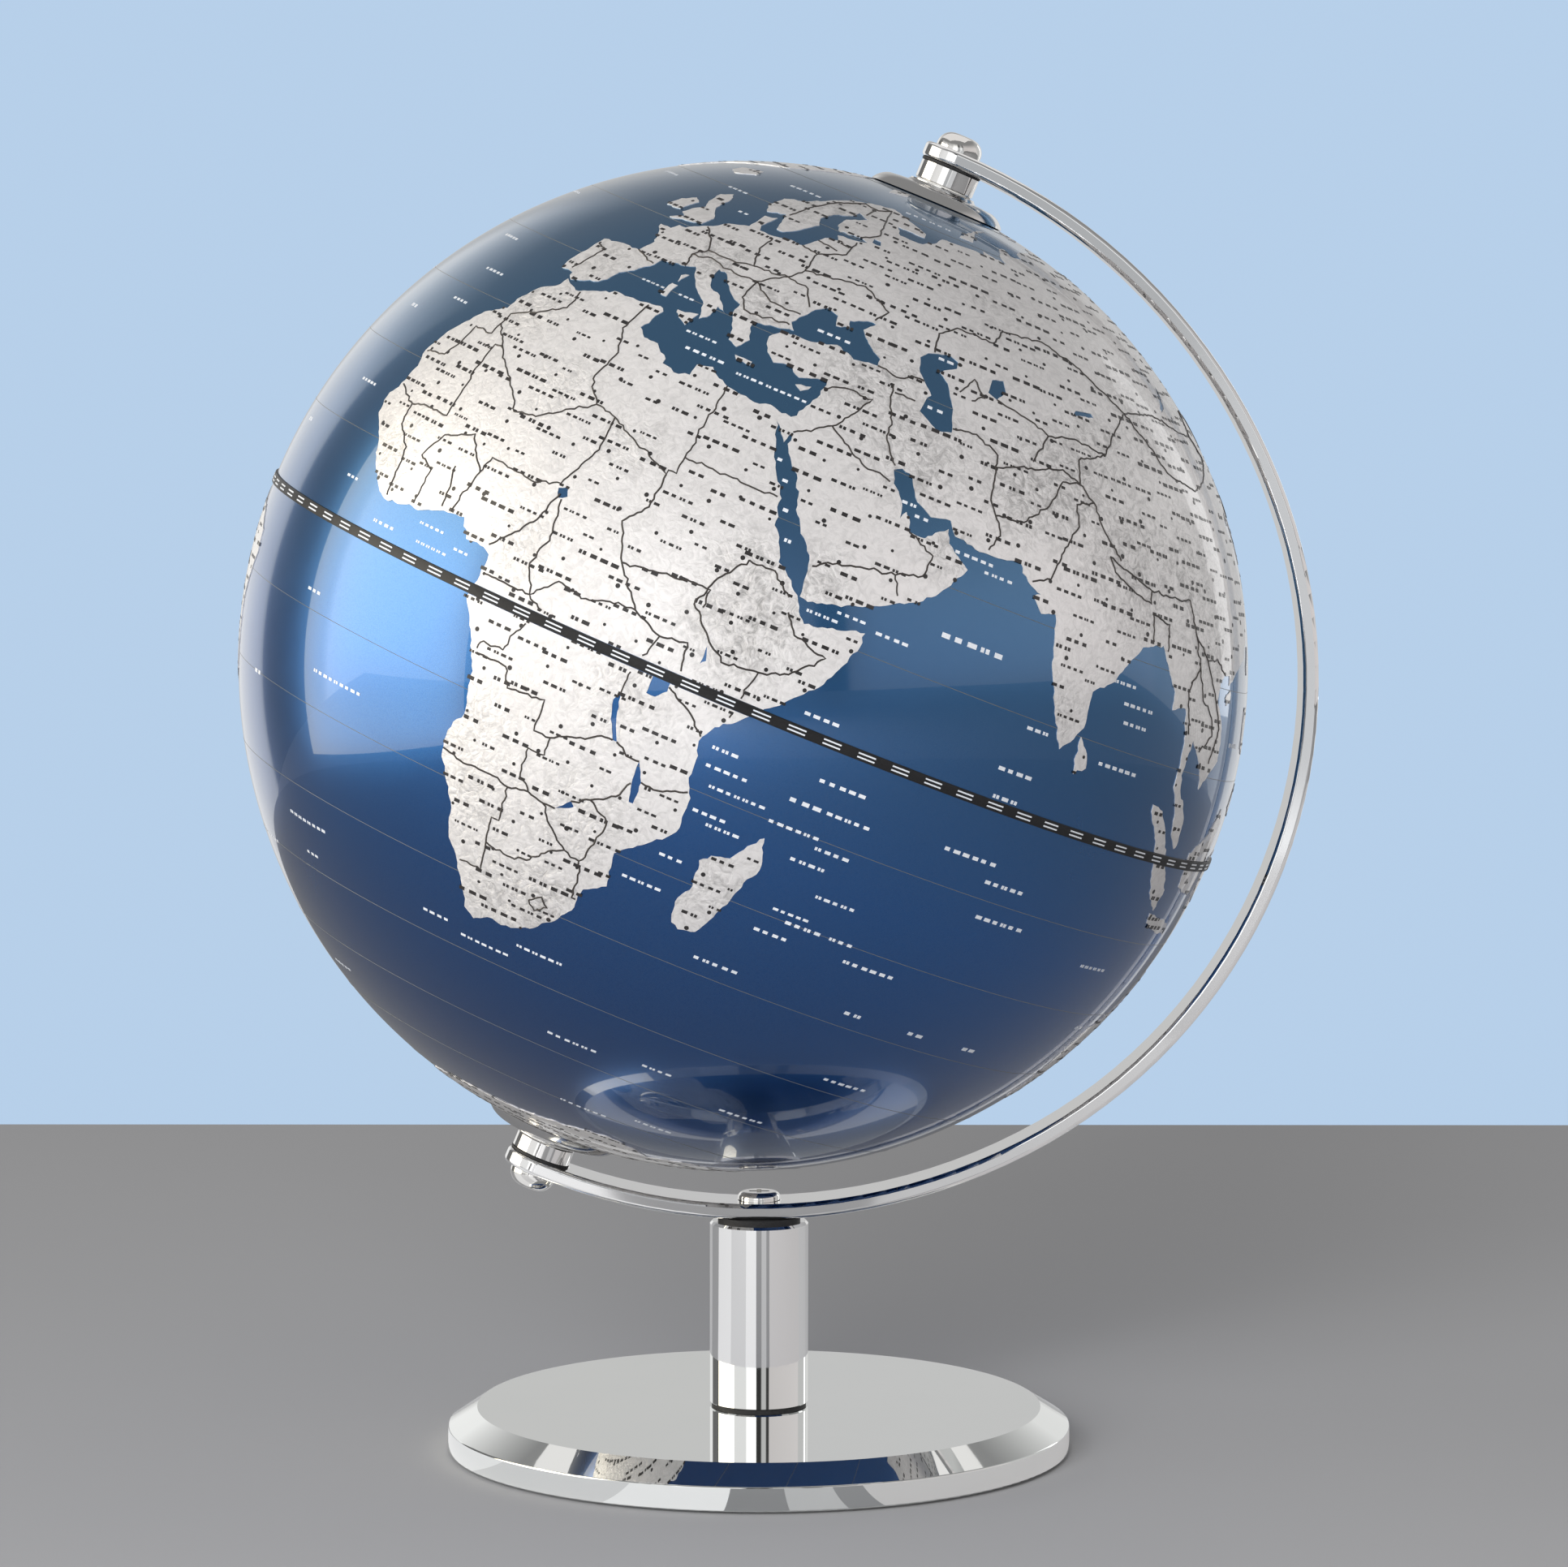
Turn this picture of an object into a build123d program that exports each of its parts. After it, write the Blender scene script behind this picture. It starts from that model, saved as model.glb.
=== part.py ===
"""Desktop globe on a chromed stand: a tilted ball held at both poles by a C-shaped arm."""
from build123d import *
import math
import os

os.makedirs("parts", exist_ok=True)

# ---------------------------------------------------------------- driving sizes (mm)
ball_r = 100.0            # radius of the ball
ball_x = -3.2             # the ball's centre sits a little left of the column
ball_z = 157.3            # height of the ball's centre above the table
axis_tilt = 22.5          # lean of the polar axis towards +X, degrees

shell_t = 2.0             # wall of the two hemispheres
groove_depth = 0.5        # groove in the seam for the equator band
band_width = 2.0
band_proud = 0.25
ring_height = 12.0        # joining ring inside the seam
ring_t = 2.0

base_r = 62.3
base_bottom = 0.6         # the pad stands this far below the base
base_t = 8.4
bevel_run = 5.8
bevel_drop = 3.6
pad_r = 56.0
pad_t = 1.4

column_r = 9.85
column_top = 46.3
gasket_t = 0.5            # black ring under the column
base_bolt_r = 3.0
arm_screw_r = 2.5

arm_width = 13.0
arm_t = 3.1
arm_pole_r = 109.7        # outer face of the arm at the poles, from the ball's centre
arm_side_r = 114.2        # outer face of the arm level with the equator
arm_shift = 0.3           # the arm is set this far north of the ball's centre
arm_bend = 40.0           # half angle of the tighter middle bend, degrees
arm_round = 0.8           # softened long edges

pin_r = 2.0
pin_tip = 87.0            # the pin ends this far from the ball's centre
dome_r = 4.6
dome_h = 3.5
hex_r = 1.5               # key recess in the screws
washer_r = 6.1
washer_t = 0.5
sleeve_r = 6.0
hub_r = 6.7
hub_top = 102.3           # top of the pole cap's hub, from the ball's centre
slip_t = 0.3
cap_r = 13.8
cap_h = 1.9

bush_r = 4.0
bush_in = 88.0
boss_r = 7.5
fit_gap = 0.05            # radial running clearance of the pins in the bushes
same_gap = 0.02           # gap between pieces fixed together

# ---------------------------------------------------------------- working planes
tilt = math.radians(axis_tilt)
equator_dir = (math.cos(tilt), 0, -math.sin(tilt))
north_dir = (math.sin(tilt), 0, math.cos(tilt))
south_dir = (-math.sin(tilt), 0, -math.cos(tilt))
ball_centre = (ball_x, 0, ball_z)

# local X is the distance from the polar axis, local Y runs along the axis
arm_plane = Plane(origin=ball_centre, x_dir=equator_dir, z_dir=(0, -1, 0))
polar_axis = Axis(origin=ball_centre, direction=north_dir)
arm_centre = Vector(ball_centre) + Vector(north_dir) * arm_shift
arm_own_plane = Plane(origin=arm_centre, x_dir=equator_dir, z_dir=(0, -1, 0))


def pole_plane(direction, distance):
    """Plane square to the polar axis, facing outwards at one pole."""
    origin = Vector(ball_centre) + Vector(direction) * distance
    return Plane(origin=origin, x_dir=(0, 1, 0), z_dir=direction)


def save(solid, label):
    solid.label = label
    export_step(solid, "parts/" + label + ".step")


# ---------------------------------------------------------------- base
base_flat = base_bottom + base_t
with BuildPart() as base_plate:
    with BuildSketch(Plane.XZ):
        with BuildLine():
            Polyline(
                (0, base_bottom),
                (base_r, base_bottom),
                (base_r, base_flat - bevel_drop),
                (base_r - bevel_run, base_flat),
                (0, base_flat),
                close=True,
            )
        make_face()
    revolve(axis=Axis.Z)
    # softened rim corners
    fillet(base_plate.edges().filter_by(GeomType.CIRCLE).sort_by(SortBy.RADIUS)[-2:], radius=0.35)
    # shallow seat for the foot pad
    with BuildSketch(Plane.XY.offset(base_bottom)):
        Circle(pad_r + 0.5)
    extrude(amount=pad_t - base_bottom, mode=Mode.SUBTRACT)
    # pocket for the bolt's head, and its clearance hole
    with BuildSketch(Plane.XY.offset(base_bottom)):
        Circle(8.0)
    extrude(amount=5.2, mode=Mode.SUBTRACT)
    with BuildSketch(Plane.XY):
        Circle(base_bolt_r + 0.2)
    extrude(amount=20, mode=Mode.SUBTRACT)
save(base_plate.part, "base_plate")

with BuildPart() as foot_pad:
    with BuildSketch():
        Circle(pad_r)
    extrude(amount=pad_t)
    fillet(foot_pad.edges().group_by(Axis.Z)[0], radius=0.3)
save(foot_pad.part, "foot_pad")

pocket_top = base_bottom + 5.2
with BuildPart() as base_bolt_washer:
    with BuildSketch(Plane.XY.offset(pocket_top - 1.0)):
        Circle(7.0)
        Circle(base_bolt_r + 0.2, mode=Mode.SUBTRACT)
    extrude(amount=1.0)
save(base_bolt_washer.part, "base_bolt_washer")

bolt_head_top = pocket_top - 1.0
with BuildPart() as base_bolt:
    with BuildSketch(Plane.XY.offset(bolt_head_top - 2.6)):
        Circle(5.5)
    extrude(amount=2.6)
    with BuildSketch(Plane.XY.offset(bolt_head_top)):
        Circle(base_bolt_r)
    extrude(amount=15.0)
    chamfer(base_bolt.faces().sort_by(Axis.Z)[-1].edges(), length=0.5)
    fillet(base_bolt.faces().sort_by(Axis.Z)[0].edges(), radius=0.9)
    # hexagon key recess
    with BuildSketch(Plane.XY.offset(bolt_head_top - 2.6)):
        RegularPolygon(radius=2.0, side_count=6)
    extrude(amount=1.6, mode=Mode.SUBTRACT)
save(base_bolt.part, "base_bolt")

# ---------------------------------------------------------------- column
column_foot = base_flat + gasket_t
with BuildPart() as column:
    with BuildSketch(Plane.XY.offset(column_foot)):
        Circle(column_r)
    extrude(amount=column_top - column_foot)
    chamfer(column.faces().sort_by(Axis.Z)[-1].edges(), length=0.5)
    chamfer(column.faces().sort_by(Axis.Z)[0].edges(), length=0.25)
    # tapped holes at both ends
    with BuildSketch(Plane.XY.offset(column_foot)):
        Circle(base_bolt_r + 0.05)
    extrude(amount=13.0, mode=Mode.SUBTRACT)
    with BuildSketch(Plane.XY.offset(column_top)):
        Circle(arm_screw_r + 0.05)
    extrude(amount=-14.0, mode=Mode.SUBTRACT)
save(column.part, "column")

with BuildPart() as column_gasket:
    with BuildSketch(Plane.XY.offset(base_flat)):
        Circle(column_r - 0.4)
        Circle(base_bolt_r + 0.4, mode=Mode.SUBTRACT)
    extrude(amount=gasket_t)
save(column_gasket.part, "column_gasket")

# ---------------------------------------------------------------- arm
# three arcs that meet tangentially: a wide bend at each end, a tighter one in the middle
bend = math.radians(arm_bend)
bend_difference = (arm_side_r - arm_pole_r) / (math.sin(bend) + math.cos(bend) - 1)
middle_r = arm_side_r - bend_difference * math.cos(bend)
end_r = middle_r + bend_difference
tip = arm_width / 2

with BuildPart() as arm:
    with BuildSketch(arm_own_plane):
        with BuildLine():
            Line((-tip, arm_pole_r), (0, arm_pole_r))
            outer_a = JernArc((0, arm_pole_r), (1, 0), end_r, -(90 - arm_bend))
            outer_b = JernArc(outer_a @ 1, outer_a % 1, middle_r, -2 * arm_bend)
            outer_c = JernArc(outer_b @ 1, outer_b % 1, end_r, -(90 - arm_bend))
            lower_tip = Line(outer_c @ 1, (-tip, -arm_pole_r))
            tip_end = Line(lower_tip @ 1, (-tip, -arm_pole_r + arm_t))
            lower_in = Line(tip_end @ 1, (0, -arm_pole_r + arm_t))
            inner_c = JernArc(lower_in @ 1, (1, 0), end_r - arm_t, 90 - arm_bend)
            inner_b = JernArc(inner_c @ 1, inner_c % 1, middle_r - arm_t, 2 * arm_bend)
            inner_a = JernArc(inner_b @ 1, inner_b % 1, end_r - arm_t, 90 - arm_bend)
            upper_in = Line(inner_a @ 1, (-tip, arm_pole_r - arm_t))
            Line(upper_in @ 1, (-tip, arm_pole_r))
        make_face()
    extrude(amount=arm_width / 2, both=True)
    # full round ends, centred on the pivots
    tip_corners = arm.edges().filter_by(polar_axis).filter_by(lambda e: abs(e.length - arm_t) < 0.01)
    fillet(tip_corners, radius=tip - 0.02)
    # softened edges all along both faces
    long_edges = arm.edges().filter_by(lambda e: abs(e.center().Y) > 0.5 and e.length > 4)
    fillet(long_edges, radius=arm_round)
    # pivot holes with spot faces inside and outside
    for direction in (north_dir, south_dir):
        shift = arm_shift if direction == north_dir else -arm_shift
        with BuildSketch(pole_plane(direction, arm_pole_r + shift - arm_t - 1)):
            Circle(pin_r + 0.1)
        extrude(amount=arm_t + 2, mode=Mode.SUBTRACT)
        with BuildSketch(pole_plane(direction, arm_pole_r + shift - arm_t - 1)):
            Circle(washer_r + 0.3)
        extrude(amount=1, mode=Mode.SUBTRACT)
        with BuildSketch(pole_plane(direction, arm_pole_r + shift - 0.1)):
            Circle(dome_r + 0.1)
        extrude(amount=2, mode=Mode.SUBTRACT)
    # hole for the column screw, with a spot face for its head
    with BuildSketch(Plane.XY.offset(column_top - 2)):
        Circle(arm_screw_r + 0.2)
    extrude(amount=10, mode=Mode.SUBTRACT)
    with BuildSketch(Plane.XY.offset(column_top + 4.0)):
        Circle(4.5)
    extrude(amount=4, mode=Mode.SUBTRACT)
save(arm.part, "arm")

# rubber disc that fills the gap between the flat column and the curved arm
with BuildPart() as arm_gasket:
    with BuildSketch(Plane.XY.offset(column_top)):
        Circle(column_r - 1.6)
        Circle(arm_screw_r + 0.2, mode=Mode.SUBTRACT)
    extrude(amount=1.05)
    add(arm.part, mode=Mode.SUBTRACT)
save(arm_gasket.part, "arm_gasket")

with BuildPart() as arm_screw:
    with BuildSketch(Plane.XY.offset(column_top + 4.0)):
        Circle(4.25)
    extrude(amount=1.9)
    fillet(arm_screw.faces().sort_by(Axis.Z)[-1].edges(), radius=1.2)
    with BuildSketch(Plane.XY.offset(column_top + 4.0)):
        Circle(arm_screw_r)
    extrude(amount=-15.5)
    chamfer(arm_screw.faces().sort_by(Axis.Z)[0].edges(), length=0.4)
    # cross recess
    with BuildSketch(Plane.XY.offset(column_top + 5.9)):
        Rectangle(4.0, 0.9)
        Rectangle(0.9, 4.0)
    extrude(amount=-1.1, mode=Mode.SUBTRACT)
save(arm_screw.part, "arm_screw")

# ---------------------------------------------------------------- pivots, one at each pole
for side, direction, shift in (("north", north_dir, arm_shift), ("south", south_dir, -arm_shift)):
    arm_out = arm_pole_r + shift - 0.1
    arm_in = arm_pole_r + shift - arm_t
    sleeve_foot = hub_top + slip_t + 0.05

    # domed screw whose shank is the pivot pin
    with BuildPart() as pivot_screw:
        with BuildSketch(pole_plane(direction, arm_out)):
            Circle(dome_r)
        extrude(amount=dome_h)
        fillet(pivot_screw.faces().sort_by(Axis((0, 0, 0), direction))[-1].edges(), radius=2.9)
        with BuildSketch(pole_plane(direction, pin_tip)):
            Circle(pin_r)
        extrude(amount=arm_out - pin_tip)
        chamfer(pivot_screw.faces().sort_by(Axis((0, 0, 0), direction))[0].edges(), length=0.6)
        with BuildSketch(pole_plane(direction, arm_out + dome_h - 1.8)):
            RegularPolygon(radius=hex_r, side_count=6)
        extrude(amount=3, mode=Mode.SUBTRACT)
    save(pivot_screw.part, side + "_pivot_screw")

    with BuildPart() as washer:
        with BuildSketch(pole_plane(direction, arm_in - washer_t)):
            Circle(washer_r)
            Circle(pin_r + 0.1, mode=Mode.SUBTRACT)
        extrude(amount=washer_t)
    save(washer.part, side + "_washer")

    with BuildPart() as sleeve:
        with BuildSketch(pole_plane(direction, sleeve_foot)):
            Circle(sleeve_r)
        extrude(amount=arm_in - washer_t - sleeve_foot)
        chamfer(sleeve.edges().filter_by(GeomType.CIRCLE), length=0.15)
        with BuildSketch(pole_plane(direction, sleeve_foot - 1)):
            Circle(pin_r + 0.05)
        extrude(amount=12, mode=Mode.SUBTRACT)
    save(sleeve.part, side + "_sleeve")

    with BuildPart() as slip_washer:
        with BuildSketch(pole_plane(direction, hub_top)):
            Circle(sleeve_r - 0.3)
            Circle(pin_r + fit_gap, mode=Mode.SUBTRACT)
        extrude(amount=slip_t)
    save(slip_washer.part, side + "_slip_washer")

# ---------------------------------------------------------------- ball
# all of these are turned profiles in the plane of the arm, about the polar axis
for side, sign, direction in (("north", 1, north_dir), ("south", -1, south_dir)):
    with BuildPart() as hemisphere:
        with BuildSketch(arm_plane):
            Circle(ball_r)
            Circle(ball_r - shell_t, mode=Mode.SUBTRACT)
            with Locations((0, sign * (bush_in + 5))):
                Rectangle(2 * boss_r, 10)
            Circle(ball_r, mode=Mode.INTERSECT)
            # groove for the equator band, and the pole hole
            with Locations((ball_r, 0)):
                Rectangle(2 * groove_depth, band_width + 2 * same_gap, mode=Mode.SUBTRACT)
            with Locations((0, sign * ball_r)):
                Rectangle(2 * (bush_r + same_gap), 60, mode=Mode.SUBTRACT)
            # keep one quarter
            with Locations((ball_r / 2 + 5, sign * (ball_r / 2 + 5))):
                Rectangle(ball_r + 10, ball_r + 10, mode=Mode.INTERSECT)
        revolve(axis=polar_axis)
    save(hemisphere.part, side + "_hemisphere")

    with BuildPart() as bush:
        with BuildSketch(pole_plane(direction, bush_in - 1.6)):
            Circle(bush_r + 2.2)
        extrude(amount=1.6 - same_gap)
        with BuildSketch(pole_plane(direction, bush_in - 1.6)):
            Circle(bush_r)
        extrude(amount=ball_r - 0.4 - bush_in + 1.6)
        with BuildSketch(pole_plane(direction, bush_in - 5)):
            Circle(pin_r + fit_gap)
        extrude(amount=30, mode=Mode.SUBTRACT)
    save(bush.part, side + "_bush")

    # low dome with a soft rim, a fillet up to the hub, and a flat hub
    with BuildPart() as pole_cap:
        dome = ball_r + cap_h
        rim = math.radians(6.2)
        with BuildSketch(arm_plane):
            with BuildLine():
                under = ball_r + same_gap
                foot_y = sign * math.sqrt(under ** 2 - cap_r ** 2)
                axis_y = sign * math.sqrt(under ** 2 - (pin_r + 0.4) ** 2)
                mid_y = sign * math.sqrt(under ** 2 - (cap_r / 2) ** 2)
                rim_x = dome * math.sin(rim)
                rim_y = sign * dome * math.cos(rim)
                hub_y = sign * math.sqrt(dome ** 2 - (hub_r + 0.5) ** 2)
                half_x = (rim_x + hub_r) / 2
                half_y = sign * math.sqrt(dome ** 2 - half_x ** 2)
                ThreePointArc((pin_r + 0.4, axis_y), (cap_r / 2, mid_y), (cap_r, foot_y))
                ThreePointArc(
                    (cap_r, foot_y),
                    (cap_r - 0.9, foot_y + sign * 1.15),
                    (rim_x, rim_y),
                )
                ThreePointArc((rim_x, rim_y), (half_x, half_y), (hub_r + 0.5, hub_y))
                Line((hub_r + 0.5, hub_y), (hub_r, hub_y + sign * 0.45))
                Line((hub_r, hub_y + sign * 0.45), (hub_r, sign * hub_top))
                Line((hub_r, sign * hub_top), (pin_r + 0.4, sign * hub_top))
                Line((pin_r + 0.4, sign * hub_top), (pin_r + 0.4, axis_y))
            make_face()
        revolve(axis=polar_axis)
    save(pole_cap.part, side + "_pole_cap")

with BuildPart() as joining_ring:
    with BuildSketch(arm_plane):
        Circle(ball_r - shell_t - same_gap)
        with Locations((ball_r, 0)):
            Rectangle(2 * (shell_t + ring_t), ring_height, mode=Mode.INTERSECT)
    revolve(axis=polar_axis)
save(joining_ring.part, "joining_ring")

with BuildPart() as equator_band:
    with BuildSketch(arm_plane):
        with Locations((ball_r - groove_depth + same_gap, 0)):
            Rectangle(groove_depth + band_proud, band_width, align=(Align.MIN, Align.CENTER))
    revolve(axis=polar_axis)
save(equator_band.part, "equator_band")
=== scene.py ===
import math

import bmesh
import bpy
import numpy as np
from mathutils import Matrix, Vector, noise
from mathutils.geometry import delaunay_2d_cdt


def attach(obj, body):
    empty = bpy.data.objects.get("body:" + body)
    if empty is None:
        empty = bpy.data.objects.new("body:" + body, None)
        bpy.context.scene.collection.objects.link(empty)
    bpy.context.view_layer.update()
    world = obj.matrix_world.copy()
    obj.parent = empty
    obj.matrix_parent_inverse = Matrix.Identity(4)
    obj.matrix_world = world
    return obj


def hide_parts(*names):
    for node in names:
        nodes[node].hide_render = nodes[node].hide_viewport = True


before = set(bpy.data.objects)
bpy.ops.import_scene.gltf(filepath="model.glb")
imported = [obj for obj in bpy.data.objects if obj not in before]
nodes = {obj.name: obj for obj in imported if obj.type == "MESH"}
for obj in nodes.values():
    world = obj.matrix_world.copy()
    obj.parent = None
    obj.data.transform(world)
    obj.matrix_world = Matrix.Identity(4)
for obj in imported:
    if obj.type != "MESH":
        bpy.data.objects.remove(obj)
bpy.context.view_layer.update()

MM = 0.001

# ---------------------------------------------------------------- sizes, millimetres
axis_tilt = math.radians(22.5)
ball_centre = Vector((-3.2, 0.0, 157.3))
sea_r = 99.78            # printed sea, just under the raised foil of the land
land_r = 99.92
land_under = 99.5        # the foil is let into the shell this deep
shell_in = 98.0
seam_half = 1.02
groove_r = 99.5
pole_hole_r = 4.02
boss_r = 7.5
boss_in = 88.0
band_r = 100.18
band_half = 1.0
front_meridian = 42.0    # longitude that faces the viewer at rest

north = Vector((math.sin(axis_tilt), 0.0, math.cos(axis_tilt)))
south = -north
rightward = Vector((math.cos(axis_tilt), 0.0, -math.sin(axis_tilt)))
forward = Vector((0.0, -1.0, 0.0))


def globe_point(lon, lat, r):
    """A point over the ball, in metres."""
    turn = math.radians(lon - front_meridian)
    rise = math.radians(lat)
    flat = forward * math.cos(turn) + rightward * math.sin(turn)
    return (ball_centre + (flat * math.cos(rise) + north * math.sin(rise)) * r) * MM


# ---------------------------------------------------------------- map outlines: (longitude, latitude)
africa = [
    (-6, 36), (-3, 35), (0, 36), (3, 37), (7, 37), (10, 37.5), (11, 37), (10.5, 35.5), (10, 34), (11.5, 33),
    (13, 33), (15.5, 32), (16, 31), (18, 30.5), (20, 31), (20, 32.5), (22, 33), (23.5, 32), (25, 31.5),
    (29, 31), (31, 31.5), (33, 31), (32.5, 30), (33.5, 28), (34, 26.5), (35.5, 24), (37, 22), (37.5, 19),
    (38.5, 18), (39.5, 15.5), (41, 14.5), (43, 12.5), (43.5, 11.5), (44.5, 10.5), (47, 11), (49, 11.5),
    (51, 12), (51, 10.5), (50, 8), (48.5, 5), (46, 2.5), (43, -0.5), (41.5, -2), (40, -3), (39, -5),
    (39.5, -7), (39.5, -9), (40.5, -11), (40.5, -15), (38, -17.5), (35, -20), (35.5, -24), (33, -25.5),
    (32.5, -28.5), (30.5, -31), (28, -33), (25.5, -34), (22, -34), (20, -35), (18.5, -34), (18, -32),
    (16.5, -28.5), (15, -26.5), (14.5, -22.5), (12, -18), (12, -15), (13.5, -12.5), (13, -9), (12, -6),
    (11, -4), (9, -1), (9.5, 1), (9.5, 4), (8.5, 4.5), (6, 4.5), (4.5, 6.5), (1, 6), (-2, 5), (-4, 5),
    (-7.5, 4.5), (-9, 5), (-11.5, 7), (-13, 8.5), (-13.5, 9.5), (-15, 11), (-17, 12.5), (-17.5, 15),
    (-16.5, 16), (-16, 19), (-17, 21), (-16, 24), (-14.5, 26), (-13, 28), (-10, 29.5), (-10, 31),
    (-8.5, 33.5), (-6.5, 34.5),
]
eurasia = [
    # Sinai, Arabia and the Gulf
    (32.5, 30), (34.5, 28), (35, 29.5), (35, 28), (37, 25.5), (38.5, 23.5), (39, 21.5), (41, 19), (42.5, 17),
    (43, 13), (45, 13), (48, 14), (52, 15.5), (55, 17), (57.5, 19), (60, 22.5), (58.5, 23.5), (57, 24.5),
    (56.5, 26), (55, 25), (54, 24), (52, 24), (51.5, 25.5), (51, 26), (50.5, 25), (50, 27), (48.5, 28.5),
    (48, 30), (49, 30.5), (50.5, 30), (51.5, 28), (54, 26.5), (56.5, 27), (57.5, 25.5), (61.5, 25),
    # India to Malaya
    (66.5, 25.5), (67, 24.5), (68.5, 23.5), (70, 23), (69, 22.5), (70.5, 21), (72.5, 21.5), (73, 19),
    (73.5, 16), (75, 12.5), (76.5, 9.5), (77.5, 8), (79, 9.5), (80, 11), (80, 15), (82.5, 16.5), (85, 19.5),
    (87, 21.5), (89, 22), (91, 22.5), (92, 21), (94.5, 18), (94.5, 16), (96, 16.5), (97.5, 16.5), (98.5, 13),
    (98.5, 8), (100.5, 5.5), (101.5, 3), (103.5, 1.5), (104, 2), (103.5, 4.5), (102, 6.5), (100.5, 7.5),
    (99.5, 9.5), (100, 12), (100.5, 13.5), (102.5, 12), (104, 10.5), (105, 8.5), (107, 10.5), (109, 12),
    (109, 14), (108, 16.5), (106, 18.5), (106.5, 20.5), (108, 21.5),
    # China, Korea and Siberia
    (110, 21.5), (110, 20.5), (112, 21.5), (114, 22.5), (117, 23.5), (119.5, 25.5), (121.5, 28.5),
    (122, 31), (121, 32.5), (119.5, 35), (120.5, 36), (122.5, 37), (121, 37.5), (119, 37.5), (118, 39),
    (120, 40), (122, 41), (121.5, 39), (124, 40), (125, 38), (127, 37), (126.5, 34.5), (129, 35),
    (129.5, 37), (127.5, 39.5), (130, 41), (131, 43), (133, 43), (136, 44.5), (140, 48), (141, 53),
    (137.5, 54), (135.5, 55), (138, 57), (142.5, 59), (149, 59.5), (155, 59.5), (157, 61.5), (160, 62),
    (164, 62.5), (161, 60.5), (157, 58), (155.5, 55), (156.5, 51), (158.5, 53), (162, 56), (163, 58),
    (164, 60), (170, 60), (175, 62), (179, 62.5), (181, 64.5), (186, 64.5), (190, 66), (184, 67), (180, 69),
    (176, 70), (170, 69), (161, 69.5), (152, 71), (140, 72.5), (135, 71.5), (130, 71), (127, 73.5),
    (119, 73), (113, 74), (112, 76), (104, 77.5), (99, 76), (87, 75), (80, 73.5), (80, 72), (73, 71.5),
    (72.5, 73), (69, 72.5), (67, 70), (68, 68.5), (60, 69.5), (60, 68.5), (54, 68.5), (46, 68), (44, 66),
    (40, 64.5), (35, 64.5), (33, 66.5), (41, 66.5), (41, 67.5), (36, 69),
    # Scandinavia, the Baltic and western Europe
    (28, 71), (22, 70), (16, 68.5), (12.5, 66), (9.5, 63.5), (5, 62), (5, 59.5), (7, 58), (10.5, 59),
    (11.5, 58), (13, 55.5), (14.5, 55.5), (16.5, 57), (18.5, 59.5), (17, 61), (18, 63), (21.5, 64.5),
    (22, 66), (25.5, 65), (21.5, 63), (21.5, 61), (23, 60), (28, 60.5), (30, 60), (28, 59.5), (23.5, 59),
    (24.5, 58), (22, 57.5), (21, 56), (20, 54.5), (16.5, 54.5), (14, 54), (11, 54), (10, 55), (10.5, 57.5),
    (8, 57), (8.5, 54), (5, 53), (3.5, 51.5), (1.5, 50.5), (0, 49.5), (-1.5, 49.5), (-2, 48.5), (-4.5, 48.5),
    (-2.5, 47), (-1, 45.5), (-1.5, 43.5), (-5, 43.5), (-9, 43), (-9, 41), (-9.5, 38.5), (-9, 37), (-6.5, 37),
    (-5.5, 36), (-2, 37), (-0.5, 38), (0, 39.5), (3, 42), (3.5, 43.5), (5, 43.5), (7.5, 44), (9, 44.5),
    # Italy, Greece, the Black Sea and the Levant
    (10.5, 43), (12.5, 41.5), (15, 40), (16, 38), (17, 39), (17, 40.5), (18.5, 40), (16, 42), (14, 42.5),
    (12.5, 44), (12.5, 45.5), (13.5, 45.5), (15, 44.5), (17, 43), (19.5, 42), (19.5, 40.5), (21, 38.5),
    (21.5, 37), (23, 36.5), (24, 38), (23, 39.5), (23, 40.5), (26, 41), (28.5, 41.5), (27.5, 42.5),
    (28.5, 44), (29.5, 45.5), (31, 46.5), (33, 46), (33.5, 44.5), (35.5, 45), (35, 46), (37.5, 47),
    (39, 47), (37.5, 45.5), (39, 44), (41.5, 42.5), (41.5, 41.5), (38, 41), (35, 42), (31.5, 41), (29, 41),
    (27, 40.5), (26, 39.5), (27, 37.5), (28.5, 36.5), (30.5, 37), (32.5, 36), (34, 36.5), (36, 37),
    (36, 35), (35, 33), (34.5, 31.5), (32.5, 31),
]
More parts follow.
